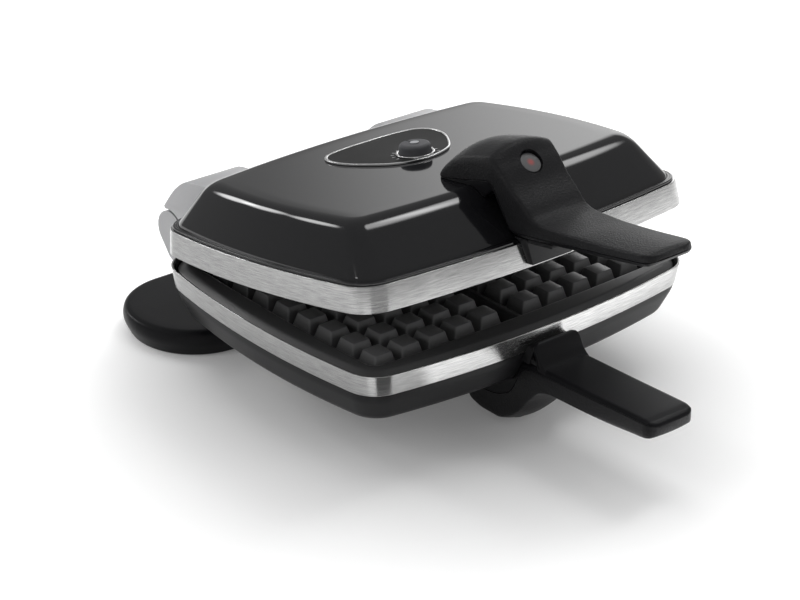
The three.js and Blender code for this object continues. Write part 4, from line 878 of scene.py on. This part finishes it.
hinge = {"centreX": 80.2, "width": 42.0, "cheek": 8.0, "head": 13.0, "knuckle": 12.0, "gap": 0.4,
         "socket": 14.2, "bore": 3.3, "blind": 1.8, "topY": 84.0, "topHeight": 37.6, "ridgeY": 108.0,
         "tailY": 142.8, "tailHeight": 16.1, "flangeHeight": 3.0, "flangeY": 118.0, "baseTop": 2.0,
         "baseFoot": 22.0, "baseToe": 134.0, "baseRearY": 124.9, "baseRearFoot": 14.5, "heelY": 140.0,
         "heelHeight": 19.0, "bevel": 1.1, "lowerBevel": 0.8, "socketArc": (80, 150, 14),
         "headArc": (-35, 165, 30), "webFront": 6, "webRear": 3, "webFoot": 6, "webTop": 2, "overrun": 2}
ridgeLine = [(0.12, 0.985), (0.23, 0.935), (0.35, 0.852), (0.46, 0.75), (0.58, 0.62), (0.69, 0.47),
             (0.8, 0.31), (0.89, 0.17), (0.95, 0.075)]


def arcPoints(radius, start, end, steps):
    return [(pivot.y + radius * math.cos(math.radians(start + (end - start) * k / steps)),
             pivot.z + radius * math.sin(math.radians(start + (end - start) * k / steps)))
            for k in range(steps + 1)]


def knucklePin(radius, fromX, toX):
    bm = rod(radius, fromX, toX)
    bm.transform(Matrix.Rotation(math.radians(90), 4, "Y"))
    bm.transform(Matrix.Translation((0, pivot.y, pivot.z)))
    return bm


# Where a hinge's left and right sides are.
def hingeSides(way):
    return [way * hinge["centreX"] + share * hinge["width"] for share in (-0.5, 0.5)]


# The bore for the pin: through the inner cheek, blind in the outer one.
def boreCutter(way):
    left, right = hingeSides(way)
    if way > 0:
        return knucklePin(hinge["bore"], left - hinge["overrun"], right - hinge["blind"])
    return knucklePin(hinge["bore"], left + hinge["blind"], right + hinge["overrun"])


def upperHinge(way):
    left, right = hingeSides(way)
    centre = way * hinge["centreX"]
    flange, top, tail = (level(1, hinge[label]) for label in ("flangeHeight", "topHeight", "tailHeight"))
    ridgePoints = [(hinge["ridgeY"] + (hinge["tailY"] - hinge["ridgeY"]) * back,
                    level(1, hinge["tailHeight"] + (hinge["topHeight"] - hinge["tailHeight"]) * lift))
                   for back, lift in ridgeLine]
    profile = [(hinge["topY"], flange), (hinge["topY"], top), (hinge["ridgeY"], top), *ridgePoints,
               (hinge["tailY"], tail), *arcPoints(hinge["socket"], *hinge["socketArc"]),
               (hinge["flangeY"], flange)]
    bracket = cutBy(sideSolid(profile, left, right), envelopeSkin(1, fit["gap"]))
    bevelSharp(bracket, hinge["bevel"])
    knuckleHalf = hinge["width"] / 2 - hinge["cheek"] - hinge["gap"]
    knuckle = knucklePin(hinge["knuckle"], centre - knuckleHalf, centre + knuckleHalf)
    web = solidBox(
        (centre - knuckleHalf, pivot.y - hinge["webFront"], pivot.z + hinge["webFoot"]),
        (centre + knuckleHalf, pivot.y + hinge["webRear"], pivot.z + hinge["socket"] + hinge["webTop"]))
    return cutBy(cutBy(bracket, knuckle, web, operation="UNION"), boreCutter(way))


def lowerHinge(way):
    left, right = hingeSides(way)
    top, foot, rearFoot, heel = (level(-1, hinge[label]) for label in (
        "baseTop", "baseFoot", "baseRearFoot", "heelHeight"))
    cheek = [*arcPoints(hinge["head"], *hinge["headArc"]), (hinge["baseRearY"], top), (hinge["topY"], top),
             (hinge["topY"], foot), (hinge["baseToe"], foot), (hinge["heelY"], heel)]
    base = [(hinge["topY"], top), (hinge["baseRearY"], top), (hinge["baseRearY"], rearFoot),
            (hinge["baseToe"], foot), (hinge["topY"], foot)]
    joined = cutBy(sideSolid(base, left, right), sideSolid(cheek, left, left + hinge["cheek"]),
                   sideSolid(cheek, right - hinge["cheek"], right), operation="UNION")
    trimmed = cutBy(joined, envelopeSkin(-1, fit["gap"]))
    bevelSharp(trimmed, hinge["lowerBevel"], segments=2)
    return cutBy(trimmed, boreCutter(way))


for way, hand in ((-1, "left"), (1, "right")):
    for half, body, make in (("upper", "lid", upperHinge), ("lower", "base", lowerHinge)):
        finishPiece(f"{half}_hinge_{hand}", make(way), body, "silverPaint",
                    [f"{half}_hinge_bracket_{hand}"], sharp=32)
    softenNode(f"hinge_pin_{hand}", "base", "plainSteel", 0.4)
    softenNode(f"hinge_clip_{hand}", "base", "plainSteel", 0.2)

print("stand")

stand = {"centreY": 133.0, "halfWidth": 135.0, "halfDepth": 48.0, "height": 19.2, "base": 0.6,
         "footTuck": 5.5, "footDepthTuck": 4.0, "bulge": 11.5, "steps": 20, "floorInset": 6,
         "topInsets": (1.6, 12.0, 14.0), "split": 0.01,
         "roundings": (0, 2.0, 4.0, 7.0, 0, 0), "roundSteps": 8}
standPad = {"radius": 9.3, "low": -2, "top": 3.7, "offsetX": 95}


def roundedRing(centreY, halfX, halfY, radius, z, steps):
    ring = []
    for corner, (signX, signY) in enumerate(((1, 1), (-1, 1), (-1, -1), (1, -1))):
        for k in range(steps + 1):
            angle = math.radians(90 * (corner + k / steps))
            ring.append((signX * (halfX - radius) + radius * math.cos(angle),
                         centreY + signY * (halfY - radius) + radius * math.sin(angle), z))
    return ring


foot, depthFoot, rim = stand["footTuck"], stand["footDepthTuck"], stand["floorInset"]
standRows = [(foot + rim, depthFoot + rim, stand["base"]), (foot, depthFoot, stand["base"]),
             (0.0, 0.0, stand["bulge"]), *[(inset, inset, stand["height"]) for inset in stand["topInsets"]]]
standRows = roundCorners(standRows, stand["roundings"], steps=stand["roundSteps"])
standRings = [roundedRing(stand["centreY"], stand["halfWidth"] - tuck, stand["halfDepth"] - depthTuck,
                          stand["halfDepth"] - depthTuck - stand["split"], height, stand["steps"])
              for tuck, depthTuck, height in standRows]
padCutters = [rod(standPad["radius"], standPad["low"], standPad["top"], (x, stand["centreY"], 0))
              for x in (-standPad["offsetX"], standPad["offsetX"])]
finishPiece("oval_stand", cutBy(ringSurface(standRings), *padCutters), "base", "smoothPlastic",
            ["rear_stand"], sharp=34)
softenNode("stand_neck", "base", "smoothPlastic", 1.2, segments=3)
for nodeName in ("stand_pad_left", "stand_pad_right", "front_foot_pad"):
    softenNode(nodeName, "base", "rubberPad", 0.4)
softenNode("cord_gland", "base", "rubberPad", 0.3)

print("badge and dial")

badge = {"halfWidth": 43.0, "length": 63.2, "frontY": -10.7, "rim": 1.6, "rimHeight": 1.2, "face": 0.8,
         "edge": 0.45, "footInset": 3, "capInset": 4, "steps": 8}
badgeHalf = [(0, 1), (0.45, 0.99), (0.82, 0.94), (0.98, 0.82), (1, 0.66), (0.92, 0.48), (0.75, 0.29),
             (0.54, 0.12), (0.28, 0.03), (0, 0)]
badgeFoot = shellFoot[1] + cover["topHeight"] + fit["gap"]


def badgeRing(inset, height):
    halfLength = badge["length"] / 2
    right = [(across * (badge["halfWidth"] - inset),
              badge["frontY"] + halfLength + (2 * along - 1) * (halfLength - inset))
             for across, along in badgeHalf]
    points = right + [(-x, y) for x, y in reversed(right[1:-1])]
    ring = []
    for k in range(len(points)):
        p0, p1, p2, p3 = (points[(k + j) % len(points)] for j in (-1, 0, 1, 2))
        for step in range(badge["steps"]):
            t = step / badge["steps"]
            ring.append(tuple(
                0.5 * (2 * b + (c - a) * t + (2 * a - 5 * b + 4 * c - d) * t * t
                       + (3 * b - a - 3 * c + d) * t ** 3) for a, b, c, d in zip(p0, p1, p2, p3))
                + (level(1, badgeFoot + height),))
    return ring


rimRows = roundCorners([(0, 0), (0, badge["rimHeight"]), (badge["rim"], badge["rimHeight"]),
                        (badge["rim"], 0)], [0, badge["edge"], badge["edge"], 0], gapInProfile, looped=True)
finishPiece("badge_frame", ringSurface([badgeRing(*values) for values in rimRows], looped=True), "lid",
            "brightSteel", ["badge_rim"])
faceInset = badge["rim"] + fit["gap"]
faceRows = [(badge["footInset"], 0), (faceInset, 0), (faceInset, badge["face"]),
            (badge["footInset"], badge["face"]), (badge["capInset"], badge["face"])]
faceSkin = cutBy(ringSurface([badgeRing(*values) for values in faceRows]), neckCutter())
finishPiece("badge_face", faceSkin, "lid", "badgeFace", ["badge_plate"])

dial = {"sides": 72, "roundSteps": 6, "ring": 12.5, "bore": 10.9, "ringHeight": 1.0, "ringEdge": 0.45,
        "knob": 10.5, "knobHeight": 6.4, "lift": 0.7, "edge": 2.6, "wall": 1.6, "recess": 2.7,
        "footEdges": (0.2, 0.3), "lean": 0.5, "capRadii": (2.0, 0.4), "groove": 1.4, "grooveDepth": 1.0,
        "clear": 2}
faceTop = badgeFoot + badge["face"]


def dialBody(profile, looped=False):
    return turnedBody([(radius, level(1, height)) for radius, height in profile], dial["sides"],
                      (0, neckHole["centreY"], 0), looped)


ringFoot = faceTop + fit["gap"]
ringTop = ringFoot + dial["ringHeight"]
ringRows = roundCorners([(dial["bore"], ringFoot), (dial["ring"], ringFoot), (dial["ring"], ringTop),
                         (dial["bore"], ringTop)], [0, 0, dial["ringEdge"], dial["ringEdge"]], gapInProfile,
                        looped=True)
finishPiece("dial_collar", dialBody(ringRows, True), "lid", "brightSteel", ["dial_ring"])

knobFoot = faceTop + dial["lift"]
knobTop = knobFoot + dial["knobHeight"]
knobInside = dial["knob"] - dial["wall"]
knobRows = roundCorners([
    (knobInside, knobFoot + dial["recess"]), (knobInside, knobFoot), (dial["knob"], knobFoot),
    (dial["knob"] - dial["lean"], knobTop), *[(radius, knobTop) for radius in dial["capRadii"]]],
    [0, *dial["footEdges"], dial["edge"], 0, 0], gapInProfile, steps=dial["roundSteps"])
pointer = solidBox(
    (-dial["groove"] / 2, neckHole["centreY"], level(1, knobTop - dial["grooveDepth"])),
    (dial["groove"] / 2, neckHole["centreY"] + dial["knob"] + dial["clear"],
     level(1, knobTop + dial["clear"])))
finishPiece("dial_knob", cutBy(dialBody(knobRows), pointer), "knob", "knobPlastic", ["thermostat_knob"])


# Geometry Nodes: marks of one size on an arc round the dial.
def tickTree():
    tree, into = openTree("dialMarks", "GeometryNodeTree", {
        "Mark": "Geometry", "Count": "Int", "Radius": "Float", "Start": "Float", "Sweep": "Float"},
        {"Geometry": "Geometry"})
    points = addNode(tree, "GeometryNodePoints", {"Count": into["Count"]})
    index = addNode(tree, "GeometryNodeInputIndex").outputs[0]
    share = addMath(tree, "DIVIDE", index, addMath(tree, "SUBTRACT", into["Count"], 1.0))
    angle = addMath(tree, "MULTIPLY_ADD", share, into["Sweep"], into["Start"])
    place = addNode(tree, "ShaderNodeCombineXYZ", {
        axis: addMath(tree, "MULTIPLY", addMath(tree, wave, angle), into["Radius"])
        for axis, wave in (("X", "COSINE"), ("Y", "SINE"))})
    turn = addNode(tree, "ShaderNodeCombineXYZ", {"Z": angle})
    move = addNode(tree, "GeometryNodeSetPosition", {
        "Geometry": points.outputs[0], "Position": place.outputs[0]})
    return closeTree(tree, move.outputs["Geometry"], into["Mark"], "printGrey", Rotation=turn.outputs[0])


ticks = {"count": 13, "radius": 14.6, "start": -52.0, "sweep": 232.0, "length": 2.0, "width": 0.55,
         "height": 0.08, "sink": 0.02}
mark = solidBox((-ticks["length"] / 2, -ticks["width"] / 2, -ticks["sink"]),
                (ticks["length"] / 2, ticks["width"] / 2, ticks["height"]))
marks = runTree("dial_marks", mark, tickTree(), {
    "Count": ticks["count"], "Radius": ticks["radius"], "Start": math.radians(ticks["start"]),
    "Sweep": math.radians(ticks["sweep"])}, "lid")
marks.data.transform(restPlace["lid"] @ Matrix.Translation((0, neckHole["centreY"], level(1, faceTop)))
                     @ restPlace["lid"].inverted())
finishObject(marks, "lid", "printGrey")

print("screws")


# Geometry Nodes: one screw and its mirror twin, a spread apart to each side.
def pairTree():
    tree, into = openTree("screwPairs", "GeometryNodeTree", {"Screw": "Geometry", "Spread": "Float"},
                          {"Geometry": "Geometry"})
    start, offset = (addNode(tree, "ShaderNodeCombineXYZ", {
        "X": addMath(tree, "MULTIPLY", into["Spread"], factor)}).outputs[0] for factor in (-1.0, 2.0))
    pair = addNode(tree, "GeometryNodeMeshLine", {"Count": 2, "Start Location": start, "Offset": offset})
    return closeTree(tree, pair.outputs["Mesh"], into["Screw"], "plainSteel")


screw = {"shank": 2.0, "head": 3.15, "headHeight": 2.2, "cross": 0.8, "crossReach": 2.0, "crossDepth": 1.2,
         "axis": 0.3, "tipEdge": (0.7, 1.0), "sides": 28, "clear": 1}
# Shares of the head's radius and height, from its foot to its top.
screwHead = [(1, 0), (1, 0.45), (0.86, 0.8), (0.5, 1)]
screwTree = pairTree()


# A pan-head screw with a cross recess, from the face its head bears on to its tip.
def screwPair(name, node, body, face, tip, spread):
    side = 1 if body == "lid" else -1
    face, tip = (Vector((0, y, level(side, height))) for y, height in (face, tip))
    length = (tip - face).length
    profile = [(screw["axis"], -length), (screw["shank"] - screw["tipEdge"][0], -length),
               (screw["shank"], -length + screw["tipEdge"][1]), (screw["shank"], 0),
               *[(screw["head"] * out, screw["headHeight"] * up) for out, up in screwHead],
               (screw["axis"], screw["headHeight"])]
    top, depth = screw["headHeight"] + screw["clear"], screw["headHeight"] - screw["crossDepth"]
    wide, narrow = screw["crossReach"], screw["cross"] / 2
    bm = cutBy(turnedBody(profile, screw["sides"]), solidBox((-wide, -narrow, depth), (wide, narrow, top)),
               solidBox((-narrow, -wide, depth), (narrow, wide, top)))
    turn = Vector((0, 0, 1)).rotation_difference(face - tip).to_matrix().to_4x4()
    bm.transform(Matrix.Translation(face) @ turn)
    finishObject(runTree(name, bm, screwTree, {"Spread": spread}, body), body, "plainSteel",
                 [f"{node}_left", f"{node}_right"])


# Each pair: its node and body, Y and height of the face and of the tip, and the spread.
panFloor = shellFoot[-1] + pan["floorDrop"]
screws = {
    "pan_screws": ("lower_plate_screw", "base", (0, panFloor + fit["gap"]), (0, panFloor - 18), 83.75),
    "upper_grip_screws": ("upper_handle_screw", "lid", (-128.6, 17.1), (-128.6, 30.4), 9.0),
    "lower_grip_screws": ("lower_handle_screw", "base", (-122.75, 16.5), (-122.75, 29.8), 9.0),
    "rear_hinge_screws": ("lower_hinge_screw", "base", (125.2, 9.5), (102, 9.5), 80.2),
}
for name, values in screws.items():
    screwPair(name, *values)

print("floor, light and camera")

# The middle, the near and far distances and the two lifts shape the floor's glow, with a painted shadow
# round the iron.
floorSizes = {"half": 6.0, "tone": 0.86, "middle": (-0.05, -0.02, 0.0), "near": 0.12, "far": 0.36,
              "paintedShadowLift": 0.10, "farLift": 0.58}


def stageSheet(name, corners, height, material):
    mesh = bpy.data.meshes.new(name)
    mesh.from_pydata([(x, y, height) for x, y in corners], [], [(0, 1, 2, 3)])
    mesh.materials.append(material)
    sheet = newObject(name, mesh)
    sheet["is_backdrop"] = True
    return sheet


# The floor glows for camera and glossy rays, dimmer near the iron than far off: this paints a shadow round
# the iron on top of the real one, and paints the floor brighter where reflections see it.
paper, tree, shader = newMaterial("floorPaper")
tree.nodes.remove(shader)
diffuse = addNode(tree, "ShaderNodeBsdfDiffuse", {"Color": (*[floorSizes["tone"]] * 3, 1)})
fromMiddle = addVector(tree, "DISTANCE", objectPlace(tree), floorSizes["middle"])["Value"]
liftAndPaintedShadow = addRange(tree, fromMiddle, floorSizes["near"], floorSizes["far"], floorSizes["paintedShadowLift"],
                  floorSizes["farLift"], "SMOOTHSTEP")
rays = addNode(tree, "ShaderNodeLightPath").outputs
seen = addMath(tree, "MAXIMUM", rays["Is Camera Ray"], rays["Is Glossy Ray"])
glow = addNode(tree, "ShaderNodeEmission", {"Strength": addMath(tree, "MULTIPLY", seen, liftAndPaintedShadow)})
total = addNode(tree, "ShaderNodeAddShader", {0: diffuse.outputs[0], 1: glow.outputs[0]})
tree.links.new(total.outputs[0], tree.nodes["Material Output"].inputs["Surface"])
half = floorSizes["half"]
stageSheet("studio_floor", [(-half, -half), (half, -half), (half, half), (-half, half)], 0, paper)

# Cards on the floor that only reflections see: tone, glow, height and corners.
cards = {
    "corner_card": (0.06, 0.0, 0.0012, [(-0.135, -0.105), (-0.098, -0.125), (0.0, -0.9), (-0.62, -0.62)]),
    "side_card": (0.72, 0.0, 0.0010, [(-0.145, -0.09), (-0.62, -0.30), (-0.62, 0.75), (-0.145, 0.75)]),
    "front_card": (0.80, 1.3, 0.0008, [(-0.06, -0.125), (-0.02, -0.26), (0.42, -0.26), (0.42, -0.125)]),
}
for name, (tone, glowing, height, outline) in cards.items():
    card = stageSheet(name, outline, height, newMaterial(f"{name}_paper", **{
        "Base Color": (tone, tone, tone, 1), "Roughness": 0.9, "Emission Color": (1, 1, 1, 1),
        "Emission Strength": glowing})[0])
    card.visible_camera = card.visible_diffuse = card.visible_shadow = card.visible_transmission = False

world = bpy.data.worlds.new("studio")
scene.world = world
world.use_nodes = True
tree = world.node_tree
background = tree.nodes["Background"]
background.inputs["Color"].default_value = (1, 1, 1, 1)
outward = addNode(tree, "ShaderNodeTexCoord").outputs["Generated"]
rays = addNode(tree, "ShaderNodeLightPath").outputs

# Soft lights that reflections see: direction, inner and outer angle, strength.
glows = [
    ((0.771, 0.602, 0.208), 0, 19, 1.75),
    ((-0.19, 0.92, 0.34), 2, 6, 8.0),
    ((-0.26, 0.87, 0.42), 2, 6, 8.0),
    ((-0.34, 0.77, 0.54), 2, 6, 8.0),
    ((0.46, 0.04, 0.89), 3, 8, 5.0),
    ((0.57, 0.07, 0.82), 3, 8, 5.0),
    ((0.68, 0.12, 0.72), 3, 8, 5.0),
    ((-0.72, 0.18, 0.67), 2, 5, 5.0),
]
light = None
for direction, inner, outer, strength in glows:
    cosine = addVector(tree, "DOT_PRODUCT", outward, tuple(Vector(direction).normalized()))["Value"]
    fall = addRange(tree, cosine, math.cos(math.radians(outer)), math.cos(math.radians(inner)), 0.0,
                    strength, "SMOOTHSTEP")
    light = fall if light is None else addMath(tree, "ADD", light, fall)
studio = {"base": 0.32, "camera": 1.0}
chosen = addNode(tree, "ShaderNodeMix", {
    "Factor": rays["Is Camera Ray"], "A": addMath(tree, "ADD", light, studio["base"]),
    "B": studio["camera"]}, data_type="FLOAT")
tree.links.new(chosen.outputs["Result"], background.inputs["Strength"])

lamps = {
    "overhead": {"place": (0.2, 0.35, 1.6), "size": (1.6, 1.4), "power": 12.0},
    "left_fill": {"place": (-1.5, 0.3, 0.9), "size": (0.9, 0.9), "power": 5.0},
    "front_fill": {"place": (0.9, -1.4, 0.9), "size": (0.9, 0.9), "power": 4.0},
}
for name, sizes in lamps.items():
    lampData = bpy.data.lights.new(name, "AREA")
    lampData.shape = "RECTANGLE"
    lampData.size, lampData.size_y = sizes["size"]
    lampData.energy = sizes["power"]
    lampObject = newObject(name, lampData)
    lampObject.location = sizes["place"]
    lampObject.visible_glossy = False
    lampObject.rotation_euler = (-Vector(sizes["place"])).to_track_quat("-Z", "Y").to_euler()

view = {"place": (-0.96856, -1.09918, 0.77450), "right": (0.76713, -0.64140, 0.01132),
        "up": (0.27609, 0.34604, 0.89668), "back": (-0.57905, -0.68474, 0.44253), "lens": 115.8,
        "sensor": 36.0}
cameraData = bpy.data.cameras.new("camera")
cameraData.lens = view["lens"]
cameraData.sensor_width = view["sensor"]
camera = newObject("camera", cameraData)
turn = Matrix((view["right"], view["up"], view["back"])).transposed().to_4x4()
camera.matrix_world = Matrix.Translation(view["place"]) @ turn
scene.camera = camera
scene.view_settings.view_transform = "Standard"

sizes = {"cad": [list(corner) for corner in cadBox], "visual": [list(corner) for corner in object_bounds()]}
print("done")
